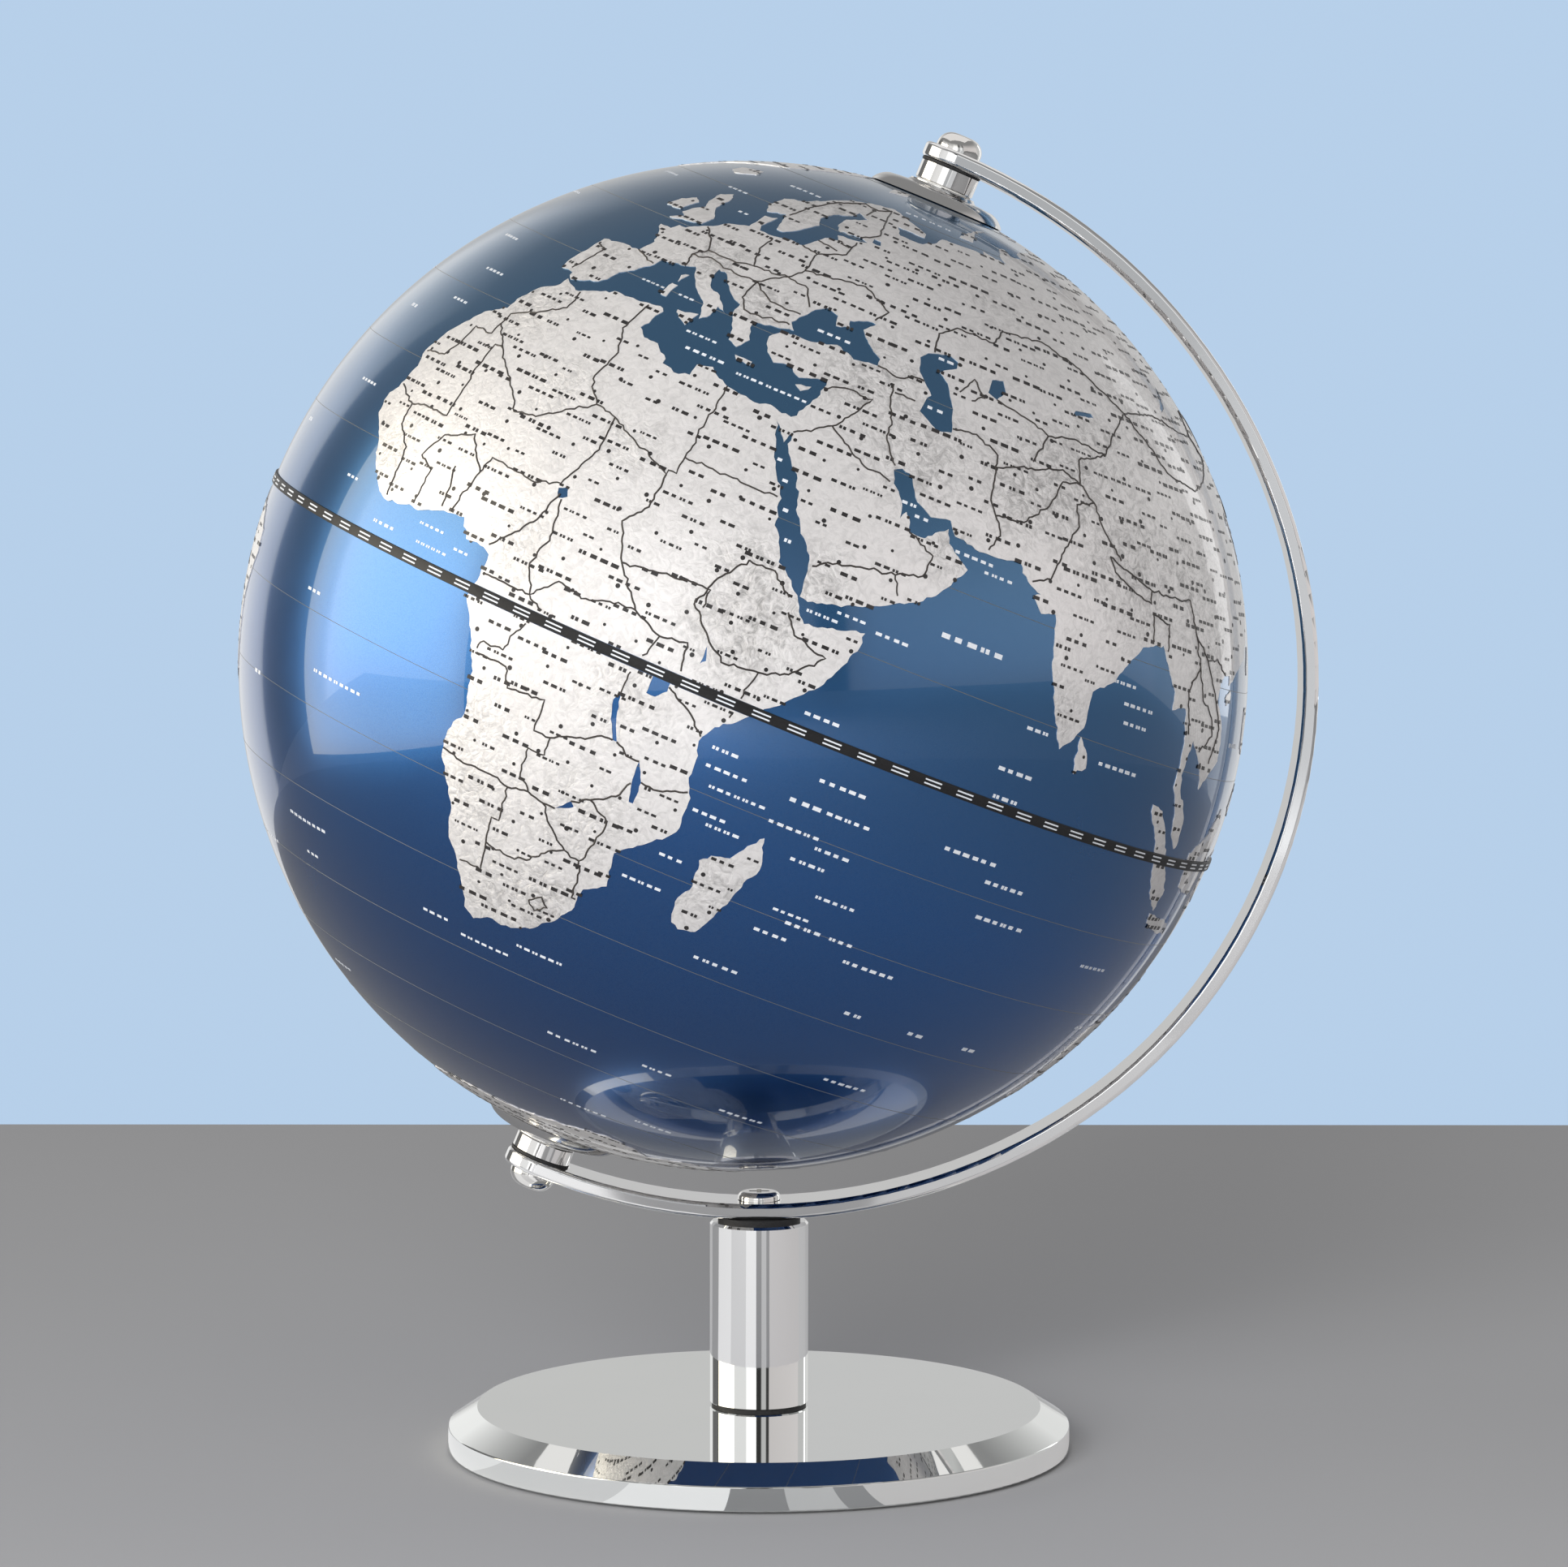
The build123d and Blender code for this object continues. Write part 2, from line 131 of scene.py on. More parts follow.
north_america = [
    (-168, 66), (-162, 66.6), (-166, 68.3), (-157, 71.2), (-148, 70.4), (-138, 69.2), (-128, 70),
    (-118, 69), (-110, 68), (-100, 68), (-94, 69.5), (-94, 72), (-88, 70), (-84, 69), (-86, 66.5),
    (-93, 62), (-94, 59), (-88, 56.8), (-82, 55), (-81, 52), (-78.5, 51.5), (-79, 54.6), (-77, 57.5),
    (-78, 60), (-77.5, 62.4), (-73, 62), (-69.6, 60.6), (-67, 58.4), (-64, 60), (-61, 56), (-57, 53),
    (-59, 50.4), (-66, 50.2), (-70, 47.4), (-65, 48.6), (-64.4, 46.8), (-61, 45.6), (-65, 43.6),
    (-67, 44.8), (-70, 43.4), (-70.5, 41.6), (-74, 40.4), (-75.6, 37.6), (-76, 35), (-79, 33.2),
    (-81.2, 31), (-80.2, 26.6), (-81.4, 25.4), (-82.7, 28), (-84, 30), (-88, 30.4), (-91, 29.2),
    (-94.5, 29.6), (-97.3, 27.4), (-97.6, 23), (-96, 19), (-94, 18.2), (-91, 18.8), (-90.2, 21),
    (-87, 21.5), (-88, 18.6), (-88.4, 16), (-84, 15.8), (-83.4, 12.6), (-83.6, 10.6), (-81.5, 9),
    (-79.6, 9.4), (-77.4, 8.6), (-77.6, 7.4), (-80, 7.6), (-82.8, 8.2), (-85.6, 10.4), (-87.6, 13),
    (-91.4, 14), (-94.4, 16.2), (-97, 15.8), (-101.5, 17.6), (-105.4, 20), (-105.6, 22.4), (-108.4, 25.4),
    (-112, 29), (-114.6, 31.6), (-113, 28.4), (-110, 24.4), (-109.6, 23), (-112, 25), (-114.8, 28),
    (-116.6, 31.6), (-118.4, 34), (-121, 35.4), (-122.6, 38), (-124.2, 41), (-124, 44), (-124.4, 47.6),
    (-122.8, 49), (-127, 51), (-130.4, 54.6), (-134, 58), (-139, 59.8), (-145, 60.4), (-149, 60),
    (-152, 60.6), (-154, 58.4), (-160, 55.6), (-163, 54.9), (-159, 57.6), (-162, 59.6), (-165, 61.2),
    (-161.5, 63.6), (-165, 64.6),
]
south_america = [
    (-77.4, 8.4), (-75.4, 10.6), (-72, 12), (-71.4, 10.8), (-68, 11.4), (-64, 10.6), (-61.6, 10.4),
    (-60, 8.4), (-57, 6), (-52, 5), (-50, 1.4), (-48.6, -0.8), (-44, -2.6), (-40, -3), (-35.4, -5.4),
    (-34.8, -8), (-37.4, -11.4), (-39, -14), (-39.4, -18), (-41, -22), (-44.4, -23.2), (-48.4, -26),
    (-49, -29), (-52, -32.4), (-54, -34.6), (-57.6, -34.4), (-57, -36.6), (-60, -38.8), (-62.4, -39),
    (-64, -41), (-65, -43.4), (-67.4, -46), (-66, -48), (-69, -51), (-68.4, -52.6), (-66, -54.8),
    (-70, -55.2), (-74, -52.4), (-75.4, -48), (-73.6, -42), (-73.4, -37), (-71.6, -32), (-70.4, -25),
    (-70.2, -18.4), (-76, -14), (-78.6, -9.4), (-81.2, -5.4), (-80.2, -2.4), (-80, 0.8), (-77.4, 3.6),
    (-77.6, 7),
]
australia = [
    (114, -22), (113.6, -26), (115.6, -31.8), (115, -34.2), (118, -35), (123.6, -33.8), (129, -31.8),
    (132.4, -32), (135.6, -34.8), (137.8, -33), (138.4, -35.6), (140.6, -38), (144, -38.6), (146.4, -39),
    (149.8, -37.4), (151.4, -33.4), (153.4, -28.6), (153, -25), (149.4, -21.4), (146.2, -18.8),
    (145.2, -15), (142.6, -10.8), (141.6, -13.6), (140.8, -17.4), (137.4, -16), (135.6, -14.8),
    (136.6, -12), (132.6, -11.4), (130.4, -12.6), (129, -15), (125.8, -14.2), (122.6, -17.4), (119, -20),
]
antarctica = [
    (-180, -78), (-165, -78), (-150, -77), (-135, -74.5), (-120, -74), (-104, -73), (-90, -73), (-76, -72),
    (-68, -68), (-60, -63.6), (-57, -63.4), (-62, -67), (-62, -73), (-60, -76), (-48, -78), (-36, -78),
    (-26, -75), (-14, -71.4), (0, -70), (14, -70), (28, -70), (38, -69), (48, -67.4), (56, -66.2),
    (66, -67.6), (74, -69.6), (82, -67), (94, -66.4), (106, -66), (118, -66.6), (132, -66), (144, -67),
    (156, -69.4), (168, -72), (165, -77.4), (180, -78), (180, -83.5), (-180, -83.5),
]
greenland = [
    (-73, 78.4), (-60, 75.8), (-54, 71.4), (-53.6, 67), (-49, 61.4), (-43.6, 60), (-40, 65), (-32, 68.2),
    (-22, 70.6), (-19, 75), (-18, 80), (-30, 82), (-46, 82), (-60, 81), (-68, 79.8),
]
islands = [
    # Madagascar, Sri Lanka
    [(49.5, -12), (50.5, -15.5), (49.5, -17.5), (49, -20), (47.5, -24), (47, -25), (45, -25.5), (44, -25),
     (43.5, -22), (44.5, -20), (44, -17), (45, -16), (47, -15.5), (48, -14)],
    [(80, 10), (81.5, 8.5), (82, 7), (80.5, 6), (80, 7.5)],
    # Mediterranean
    [(12.5, 38), (15.5, 38.5), (15, 36.5), (13, 37.5)],
    [(8.5, 41), (9.5, 41), (9.5, 39), (8.5, 39)],
    [(8.5, 42.5), (9.5, 43), (9, 41.5)],
    [(23.5, 35.5), (26, 35.5), (26, 35), (24, 35)],
    [(32.5, 35), (34.5, 35.5), (33.5, 34.5)],
    # north-west Europe, Arctic
    [(-5.4, 50.2), (1.2, 51.2), (1.6, 52.8), (-1.4, 54.8), (-2.2, 57.4), (-4, 58.6), (-6, 57.6),
     (-4.8, 55.4), (-3.2, 54.2), (-4.6, 53), (-5, 51.8), (-3, 51.4)],
    [(-10, 52), (-6.4, 52.2), (-6, 54.6), (-8, 55.2), (-10, 54)],
    [(-24, 65.4), (-20.6, 66), (-16, 66.4), (-13.8, 65), (-18.6, 63.5), (-22.6, 64)],
    [(52, 71), (56, 73.4), (62, 75.8), (68, 76.8), (60, 74.6), (57, 71)],
    [(12, 79.6), (22, 80.2), (24, 78.4), (16, 77)],
    [(96, 79), (100, 81), (105, 79)],
    # Sumatra, Java, Borneo, Sulawesi, New Guinea
    [(95.3, 5.6), (97.6, 5.2), (100.4, 2.4), (103.6, -1), (106, -3.2), (105.8, -5.8), (103.4, -4.6),
     (100.6, -1.6), (98.6, 1.8), (95.4, 4.8)],
    [(105.4, -6.2), (108.6, -6.6), (111, -6.6), (114.4, -7.6), (114.4, -8.6), (110, -8.2), (106, -7.4)],
    [(109, 1.4), (111.4, 2.6), (113.6, 3.6), (116.8, 6.8), (119, 5.2), (117.8, 2.4), (117.6, 0.4),
     (116, -3.4), (113, -3.2), (110.2, -2.6)],
    [(119, -3), (120, 0.9), (124.8, 1.8), (121, 0.7), (121.4, -2), (122.6, -4.6), (120.6, -3),
     (120.2, -5.6), (119.4, -5.4)],
    [(131, -1), (134, -0.9), (135.4, -3.2), (138, -1.8), (141, -2.6), (145, -4.4), (147.8, -6),
     (150.6, -10.4), (147, -9.4), (143.6, -8.4), (140, -8), (138, -7), (134.6, -4), (132.4, -3.6)],
    # Philippines, Taiwan, Hainan, Japan, Sakhalin
    [(120.2, 16.2), (120.8, 18.4), (122.2, 18.4), (121.8, 15.6), (124, 13), (121, 13.8)],
    [(122, 7), (123.8, 8.6), (125.8, 9.6), (126.4, 7), (125.2, 5.8)],
    [(120.2, 23), (121.4, 25.2), (121.6, 24), (120.8, 22)],
    [(108.8, 19), (110.6, 20), (110.8, 19), (109.4, 18.2)],
    [(131, 34), (133, 35.6), (136, 36), (138.6, 37.4), (140, 39.8), (141, 41.4), (142, 39.6),
     (140.8, 36.6), (139, 34.8), (136, 33.8), (133, 34.2)],
    [(140, 42), (141.6, 45.2), (145.2, 43.6), (143.2, 42)],
    [(130, 33.4), (131.8, 33.4), (131.2, 31.4), (130, 31.6)],
    [(142, 46.2), (142.2, 50), (142.6, 54), (143.6, 52), (143.2, 49), (143.6, 47)],
    # New Zealand, Tasmania
    [(172.8, -34.6), (175.6, -36.6), (178.4, -37.8), (176.8, -40), (175, -41.6), (173.8, -39.4),
     (174.8, -37.4)],
    [(172.8, -40.6), (174.2, -41.8), (171.2, -44.6), (169, -46.6), (166.6, -45.8), (170.4, -43)],
    [(144.8, -40.8), (148.2, -41), (147.6, -43.4), (145.6, -43)],
    # Caribbean, Newfoundland, Canadian Arctic
    [(-84.8, 22), (-82, 23), (-77.4, 21.2), (-74.4, 20.2), (-77.6, 19.9), (-80, 21.8)],
    [(-74.4, 18.6), (-72.6, 19.8), (-69, 19.2), (-70.8, 17.8)],
    [(-59.2, 47.8), (-56, 51.4), (-53, 47.6)],
    [(-80, 73.6), (-72, 71.4), (-67, 69), (-62, 66.4), (-66, 63), (-70, 63.4), (-74, 65.4), (-73, 68),
     (-80, 70), (-88, 71.4), (-89, 73.6)],
    [(-117, 70), (-105, 69), (-102, 70.6), (-106, 73), (-116, 73)],
    [(-90, 77), (-80, 76.6), (-77, 78.6), (-70, 81), (-78, 82), (-88, 81.6)],
]
lakes = [
    # Caspian, Balkhash, Aral
    [(47, 45), (48, 46), (49.5, 46.5), (51.5, 47), (53, 46.5), (53, 45.5), (51, 44.5), (50.5, 44), (52, 43),
     (52.5, 42), (53, 41), (53.5, 40), (54, 37), (52, 36.5), (50, 37.5), (49, 38), (49.5, 40), (50, 40.5),
     (49, 41.5), (47.5, 43)],
    [(74, 45.5), (75.5, 46), (79, 46.5), (78.5, 47), (75, 46.5)],
    [(58.5, 44), (60, 43.5), (61.5, 45), (61, 46.5), (59, 46)],
    # Victoria, Tanganyika, Malawi, Turkana, Chad, Kariba
    [(32, -0.5), (32.5, 0.5), (34, 0), (34, -1.5), (33, -2.5), (32, -2.5)],
    [(29.5, -3.5), (30, -6), (31, -8.5), (30.5, -8.5), (29.5, -6.5), (29, -4.5)],
    [(34, -9.5), (35, -11.5), (35, -14), (34.5, -14), (34, -11.5)],
    [(36, 4.5), (36.5, 3), (36, 2.5)],
    [(13.5, 13.5), (14.5, 14), (15, 13), (14, 12.5)],
    [(27, -18), (28.5, -16.5), (29, -17)],
    # Baikal, Ladoga, North American lakes
    [(104, 51.6), (107, 52.6), (109.6, 55), (109, 55.6), (106.4, 53.4), (103.8, 52)],
    [(30.6, 60.4), (32.6, 60.4), (32, 61.4), (30.4, 61.4)],
    [(-92, 46.8), (-87, 46.6), (-84.8, 46.8), (-86, 48.6), (-89, 48.2)],
    [(-87.6, 42), (-86.4, 42), (-85.6, 45.4), (-87.4, 45)],
    [(-84.2, 45.8), (-83.4, 43.8), (-81.8, 43.6), (-80.8, 44.8)],
    [(-83, 41.6), (-79, 42.6), (-81, 42.9)],
    [(-125, 66), (-120, 65.4), (-119, 66.6), (-123, 67)],
    [(-117, 61.2), (-110, 62), (-112, 63), (-116, 62.2)],
    [(-99, 50.6), (-97, 50.8), (-97.6, 53.6), (-99, 53)],
]

# ---------------------------------------------------------------- border lines: (longitude, latitude)
borders = [
    # northern Africa
    [(-2, 35), (-1.5, 32.5), (-4, 31), (-8.5, 29), (-8.5, 27.5), (-5, 25), (1, 21), (3, 19), (6, 19.5),
     (12, 23.5), (9.5, 26), (10, 30), (8, 33), (8.5, 37)],
    [(-8.5, 27.5), (-8.5, 26), (-12, 26), (-12, 23.5), (-13, 21.5), (-16.5, 21)],
    [(-5, 25), (-6.5, 25), (-5.5, 15.5), (-9.5, 15.5), (-12, 15), (-16, 16.5)],
    [(12, 23.5), (15, 23), (24, 19.5), (24, 20), (25, 20), (25, 31.5)],
    [(25, 22), (31, 22), (36.5, 22)],
    [(24, 19.5), (24, 15.5), (22, 13), (23, 11), (24, 9), (27.5, 5), (31, 3.5)],
    [(15, 23), (15.5, 19), (13.5, 14), (10, 13), (4, 13.5), (3.5, 11.5), (2.5, 6.5)],
    [(14, 13), (13, 9.5), (11, 7), (9, 5)],
    [(14.5, 12.5), (15.5, 8), (14.5, 5), (16, 2), (18.5, 4.5), (22.5, 4), (25.5, 5), (27.5, 5)],
    [(24, 9), (28, 9.5), (32, 10), (34, 10), (34, 8)],
    [(36.5, 14.5), (34, 11), (33, 8), (36, 5), (38, 3.5), (42, 4), (45, 5), (48, 8), (44, 9), (42.5, 11)],
    [(36.5, 14.5), (39.5, 14.5), (42, 12.5)],
    [(-12, 15), (-11.5, 12.5), (-8.5, 10.5), (-8, 8.5), (-7.5, 5)],
    [(-3, 5.5), (-3, 9.5), (-5.5, 10.5), (-4, 13.5), (0, 15), (3.5, 11.5)],
    [(0, 11), (1, 6.5)],
    # southern Africa
    [(42, 4), (41, -1.5)],
    [(31, 3.5), (34, 4), (34.5, 1), (34, 0)],
    [(34, -1), (37.5, -3), (39, -4.5)],
    [(31, 3.5), (30, 0.5), (29.5, -1.5), (29.5, -3.5)],
    [(31, -8.5), (33, -9.5), (34, -9.5)],
    [(35, -11.5), (37.5, -11.5), (40, -10.5)],
    [(21, -18), (23.5, -17.5), (25.5, -18), (27, -18)],
    [(28.5, -16.5), (30.5, -15.5), (33, -14), (34, -12)],
    [(30.5, -15.5), (33, -17), (32.5, -20), (31.5, -22.5), (32, -24.5), (32, -27), (32.5, -27)],
    [(12, -17), (14, -17.5), (18.5, -17.5), (21, -18)],
    [(12.5, -6), (16.5, -6), (17.5, -8), (22, -7.5), (22, -11), (24, -11), (28.5, -9), (30.5, -8.5)],
    [(24, -11), (24, -13), (22, -13), (22, -16), (23.5, -17.5)],
    [(21, -18), (21, -22), (20, -22), (20, -28.5), (17, -28.5)],
    [(20, -25), (23, -25.5), (25.5, -25), (27, -23.5), (29.5, -22), (31.5, -22.5)],
    [(25.5, -18), (27, -20), (29.5, -22)],
    [(27, -29.5), (28.5, -28.5), (29.5, -29.5), (28, -30.5), (27, -29.5)],
    [(10, 2), (13, 2), (16, 2), (18, 1), (16, -2.5), (15.5, -4.5), (13, -4.5), (12.5, -5.5)],
    # Arabia, Persia, India
    [(35, 29.5), (39, 32), (44.5, 29), (46.5, 29), (48, 28.5)],
    [(39, 32), (41, 34.5), (42.5, 37), (38.5, 37), (36, 36)],
    [(44.5, 40), (45, 37), (46, 35), (46, 33), (48, 30.5)],
    [(45, 39), (48, 39)],
    [(41.5, 41.5), (44.5, 41), (46.5, 42), (48.5, 42)],
    [(43, 16.5), (44.5, 17.5), (49, 18.5), (52, 19), (55, 20), (55.5, 22.5), (52, 24)],
    [(52, 19), (53, 17)],
    [(54, 37.5), (57.5, 38), (61, 36.5), (61, 34), (61, 31), (62, 29.5), (63, 28), (62, 25.5)],
    [(62, 29.5), (66, 30), (69.5, 33), (71.5, 36.5), (74.5, 37)],
    [(61, 35), (64, 36), (68, 37), (71.5, 38), (74.5, 37)],
    [(68.5, 24), (71, 25), (72.5, 29), (74.5, 32), (74, 34.5), (77, 35.5)],
    [(80, 30), (81, 28.5), (85, 27), (88, 26.5), (88, 28), (84, 29), (80, 30)],
    [(74.5, 37), (77, 35.5), (79, 32.5), (82, 30)],
    [(88, 28), (92, 28), (97, 28.5), (98.5, 25), (100, 21.5), (97.5, 18.5), (99, 14)],
    [(89, 22.5), (88.5, 25.5), (92, 25), (92, 22)],
    [(100, 21.5), (101.5, 18), (104.5, 16.5), (105.5, 14.5), (102.5, 12.5)],
    [(98.5, 25), (102, 22.5), (104.5, 19.5), (107.5, 15.5), (106, 11.5)],
    [(102, 22.5), (105, 23), (108, 21.5)],
    # inner Asia
    [(49, 46.5), (49, 49.5), (52, 51.5), (59, 51.5), (61, 54), (70, 55), (77, 53.5), (83, 51), (87.5, 49),
     (85, 47), (82.5, 45), (80, 42), (74, 42.5), (69, 41.5), (66, 42.5), (60, 43.5)],
    [(80, 42), (74.5, 40), (74.5, 37)],
    [(56, 42), (58, 43), (56, 45), (54, 42.5)],
    [(69, 41.5), (66.5, 37.5)],
    [(87.5, 49), (92, 46), (96, 43), (105, 42), (112, 44), (119.5, 47), (116, 49.5), (108, 49.5),
     (98, 50.5), (87.5, 49)],
    [(116, 49.5), (120, 53), (126, 52), (131, 48), (134.5, 48), (131, 44.5), (130.5, 42.5)],
    [(124.5, 40), (127, 41.5), (130, 42.5)],
    # Europe
    [(-8.5, 42), (-6.5, 41.5), (-7, 38.5), (-7.5, 37.5)], [(-1.5, 43.5), (3, 42.5)],
    [(7.5, 44), (6.5, 46), (8, 47.5), (6, 49.5), (3, 51)],
    [(8, 47.5), (13, 47.5), (16.5, 48), (14.5, 51), (14.5, 53.5)],
    [(6.5, 46), (10.5, 46.5), (13.5, 46), (19, 46), (22.5, 48.5)],
    [(16.5, 48), (22.5, 48.5), (24, 50.5), (23.5, 54), (20, 54.5)],
    [(22.5, 48.5), (26.5, 48), (28.5, 45.5)],
    [(19, 46), (20.5, 45), (23, 44), (28, 44)],
    [(19, 46), (19, 43), (20.5, 41.5), (23, 41.5), (26.5, 42), (27.5, 42)],
    [(24, 50.5), (31, 51.5), (34.5, 52), (40, 49.5), (38.5, 47.5)],
    [(23.5, 54), (28, 56), (28, 59)], [(24.5, 58), (27.5, 57.5)], [(21.5, 56.5), (26, 56)],
    [(11.5, 59), (12.5, 63), (14.5, 66), (20, 69), (25, 68.5), (28, 70)],
    [(24, 66), (24, 68.5)], [(28, 70), (30, 65), (31, 62.5), (28, 60.5)],
    # the Americas and Australia
    [(-122.6, 49), (-95, 49), (-89, 48)],
    [(-84, 46.4), (-82, 44.8)],
    [(-79, 43.4), (-74.6, 45), (-71, 45.2), (-68, 47)],
    [(-116.6, 32.5), (-111, 31.4), (-106.4, 31.8), (-101.4, 29.8), (-97.6, 26)], [(-141, 60.4), (-141, 69.4)],
    [(-92, 15), (-90.4, 17.8), (-89.2, 17.8)], [(-87, 13), (-84, 14.6)], [(-85.4, 11), (-83.8, 11)],
    [(-78.4, 1.4), (-75, -2.4), (-70, -4.2), (-69.8, 1.6), (-67, 1.8), (-63, 3.8), (-60.4, 5), (-59.6, 1.6),
     (-52.6, 2.4), (-51.8, 4.4)],
    [(-70, -4.2), (-73, -7.4), (-69.6, -11), (-65.4, -11), (-60, -16.2), (-57.8, -20), (-54.4, -24.6),
     (-57.6, -30.2), (-53.8, -33.2)],
    [(-69.6, -11), (-69.4, -17.6), (-67, -23), (-70, -33), (-71.6, -42), (-72, -50), (-69, -52)],
    [(-67, -23), (-62.6, -22.2), (-57.8, -20)], [(-72, 11.4), (-72.4, 7.4), (-67.6, 6), (-67, 1.8)],
    [(129, -15.2), (129, -26), (129, -31.6)],
    [(138, -16.6), (138, -26), (129, -26)],
    [(138, -26), (141, -26), (141, -37.8)],
    [(141, -29), (149, -29), (153, -28.4)],
    [(141, -34), (147, -36), (149.4, -37.2)],
    [(141, -3), (141, -8.4)],
]

# ---------------------------------------------------------------- sea captions
# longitude, latitude, marks, size
sea_captions = [
    # Atlantic, from the Guinea coast southward
    (-15, 5, 3, 1.3), (-6, 2, 4, 1.5), (1, 4, 5, 1.2), (2, 2, 6, 1.2), (6, 3, 3, 1.2), (-14, -8, 3, 1.5),
    (-6, -16, 9, 1.5), (-12, -34, 8, 1.5), (-12, -38, 3, 1.3), (14, -37, 4, 1.4), (22, -38, 7, 1.3),
    (30, -36, 6, 1.4),
    # Indian Ocean and its islands
    (50, 2, 4, 1.6), (42, -5, 3, 1.6), (43, -7, 5, 1.5), (45, -9, 7, 1.4), (43, -12, 4, 1.5),
    (45, -13, 4, 1.5),
    (55, -4, 5, 1.7), (52, -7, 3, 2.0), (57, -7, 5, 1.6), (52, -10, 6, 1.5), (57, -11, 4, 1.6),
    (55, -13, 4, 1.6),
    (60, -16, 5, 1.5), (56, -19, 5, 1.3), (55, -22, 4, 1.6), (58, -20, 4, 1.7), (63, -20, 3, 1.6),
    (68, -22, 6, 1.7),
    (51, -28, 5, 1.6), (41, -18, 3, 1.4), (39, -22, 5, 1.4), (72, -6, 6, 1.8), (78, -8, 5, 1.8),
    (80, -12, 6, 1.8),
    (63, 15, 5, 2.4), (73, 4, 4, 1.8), (73, 1, 3, 1.8), (74, 9, 3, 1.6), (85, 17, 4, 1.5), (88, 15, 5, 1.6),
    (88, 13, 4, 1.6), (87, 8, 6, 1.7), (46, 12, 4, 1.4), (49, 13, 4, 1.3), (54, 12.5, 4, 1.5),
    (70, -28, 2, 1.9),
    (80, -28, 2, 1.9), (90, -28, 2, 1.9), (38, -47, 6, 1.5), (52, -46, 4, 1.4), (78, -38, 6, 1.6),
    (70, -49, 6, 1.5),
    (45, -60, 6, 1.4), (100, -14, 6, 1.5),
    # the seas between Africa, Europe and Asia
    (6, 40, 5, 1.0), (12, 40, 3, 1.1), (18, 36, 5, 1.2), (20, 34, 5, 1.5), (28, 33.5, 6, 1.3),
    (33, 33.5, 4, 1.2),
    (34, 43, 4, 1.5), (35, 26, 1, 1.5), (36.5, 24, 1, 1.5), (38, 21, 1, 1.7), (39.5, 18, 1, 1.7),
    (51, 27, 2, 1.5),
    (53, 26, 2, 1.5), (60, 24, 6, 1.5), (64, 23, 4, 1.4), (51, 46, 2, 1.6), (51, 39, 2, 1.6),
    # North Atlantic and the Arctic
    (-28, 38, 5, 1.4), (-20, 33, 5, 1.4), (-20, 28, 4, 1.4), (-24, 15, 5, 1.4), (-30, 25, 2, 1.9),
    (-36, 8, 2, 1.9), (-26, -20, 2, 1.9), (-40, 48, 6, 1.4), (-30, 58, 5, 1.4), (-6, 60, 4, 1.3),
    (4, 56, 2, 1.3),
    (4, 66, 5, 1.4), (40, 72, 6, 1.4), (-50, 30, 7, 1.5), (-60, 20, 6, 1.4), (-75, 15, 5, 1.6),
    (-90, 25, 4, 1.8),
    (-30, -40, 6, 1.4), (-20, -55, 5, 1.4),
    # Pacific and the Southern Ocean
    (-95, -10, 2, 1.9), (-110, -25, 2, 1.9), (-125, -5, 6, 1.5), (-140, 10, 2, 1.9), (-150, -18, 7, 1.5),
    (-160, 22, 6, 1.5), (-150, 40, 2, 1.9), (-170, -14, 6, 1.5), (175, -18, 5, 1.5), (170, 8, 7, 1.5),
    (160, 20, 2, 1.9), (160, -9, 6, 1.5), (145, 14, 5, 1.5), (135, 28, 5, 1.5), (160, -38, 4, 1.9),
    (115, 14, 3, 2.2), (120, -48, 6, 1.5), (110, -22, 2, 1.9), (150, 50, 4, 1.6), (-175, 55, 5, 1.6),
    (-135, -48, 6, 1.5), (-100, -40, 2, 1.9), (60, -58, 5, 1.4),
]

# high ground pressed into the foil: longitude, latitude, reach in degrees, strength
high_ground = [
    (39, 8, 6, 1.0), (37, 13, 4, 0.9), (28, -29, 5, 0.9), (24, -31, 6, 0.6), (17, -20, 6, 0.5),
    (30, -18, 6, 0.5),
    (30, -4, 5, 0.5), (14, -14, 5, 0.5), (46.8, -20, 4, 0.6), (-6, 32, 5, 0.6), (7, 24, 4, 0.4),
    (18, 21, 4, 0.4),
    (12, 6, 4, 0.5), (-10, 9, 4, 0.4), (44, 15, 4, 0.8), (57, 23.5, 3, 0.7), (50, 33, 6, 0.8),
    (42, 39, 6, 0.8),
    (66, 34, 6, 0.9), (73, 37, 6, 1.0), (85, 31, 8, 1.0), (97, 31, 7, 1.0), (80, 42, 6, 0.8),
    (92, 48, 6, 0.7),
    (10, 46.5, 4, 0.8), (-4, 40, 4, 0.5), (22, 43, 4, 0.6), (60, 58, 4, 0.4), (103, 25, 6, 0.6),
    (110, 52, 8, 0.5),
    (135, 62, 10, 0.5), (-110, 42, 9, 0.8), (-120, 52, 8, 0.8), (-104, 24, 6, 0.7), (-70, -12, 6, 0.9),
    (-69, -28, 6, 0.9), (-72, -46, 5, 0.7), (-45, -18, 7, 0.4), (148, -34, 5, 0.4), (138, -4, 4, 0.7),
    (76, 12, 3, 0.5), (14, 63, 5, 0.5),
]


# ---------------------------------------------------------------- helpers for node trees
def add(tree, kind, feeds=None, **settings):
    """One node, with its settings and its inputs; an input is a value or another node's output."""
    made = tree.nodes.new(kind)
    for setting, value in settings.items():
        setattr(made, setting, value)
    for socket, value in (feeds or {}).items():
        if isinstance(value, bpy.types.NodeSocket):
            tree.links.new(value, made.inputs[socket])
        else:
            made.inputs[socket].default_value = value
    return made


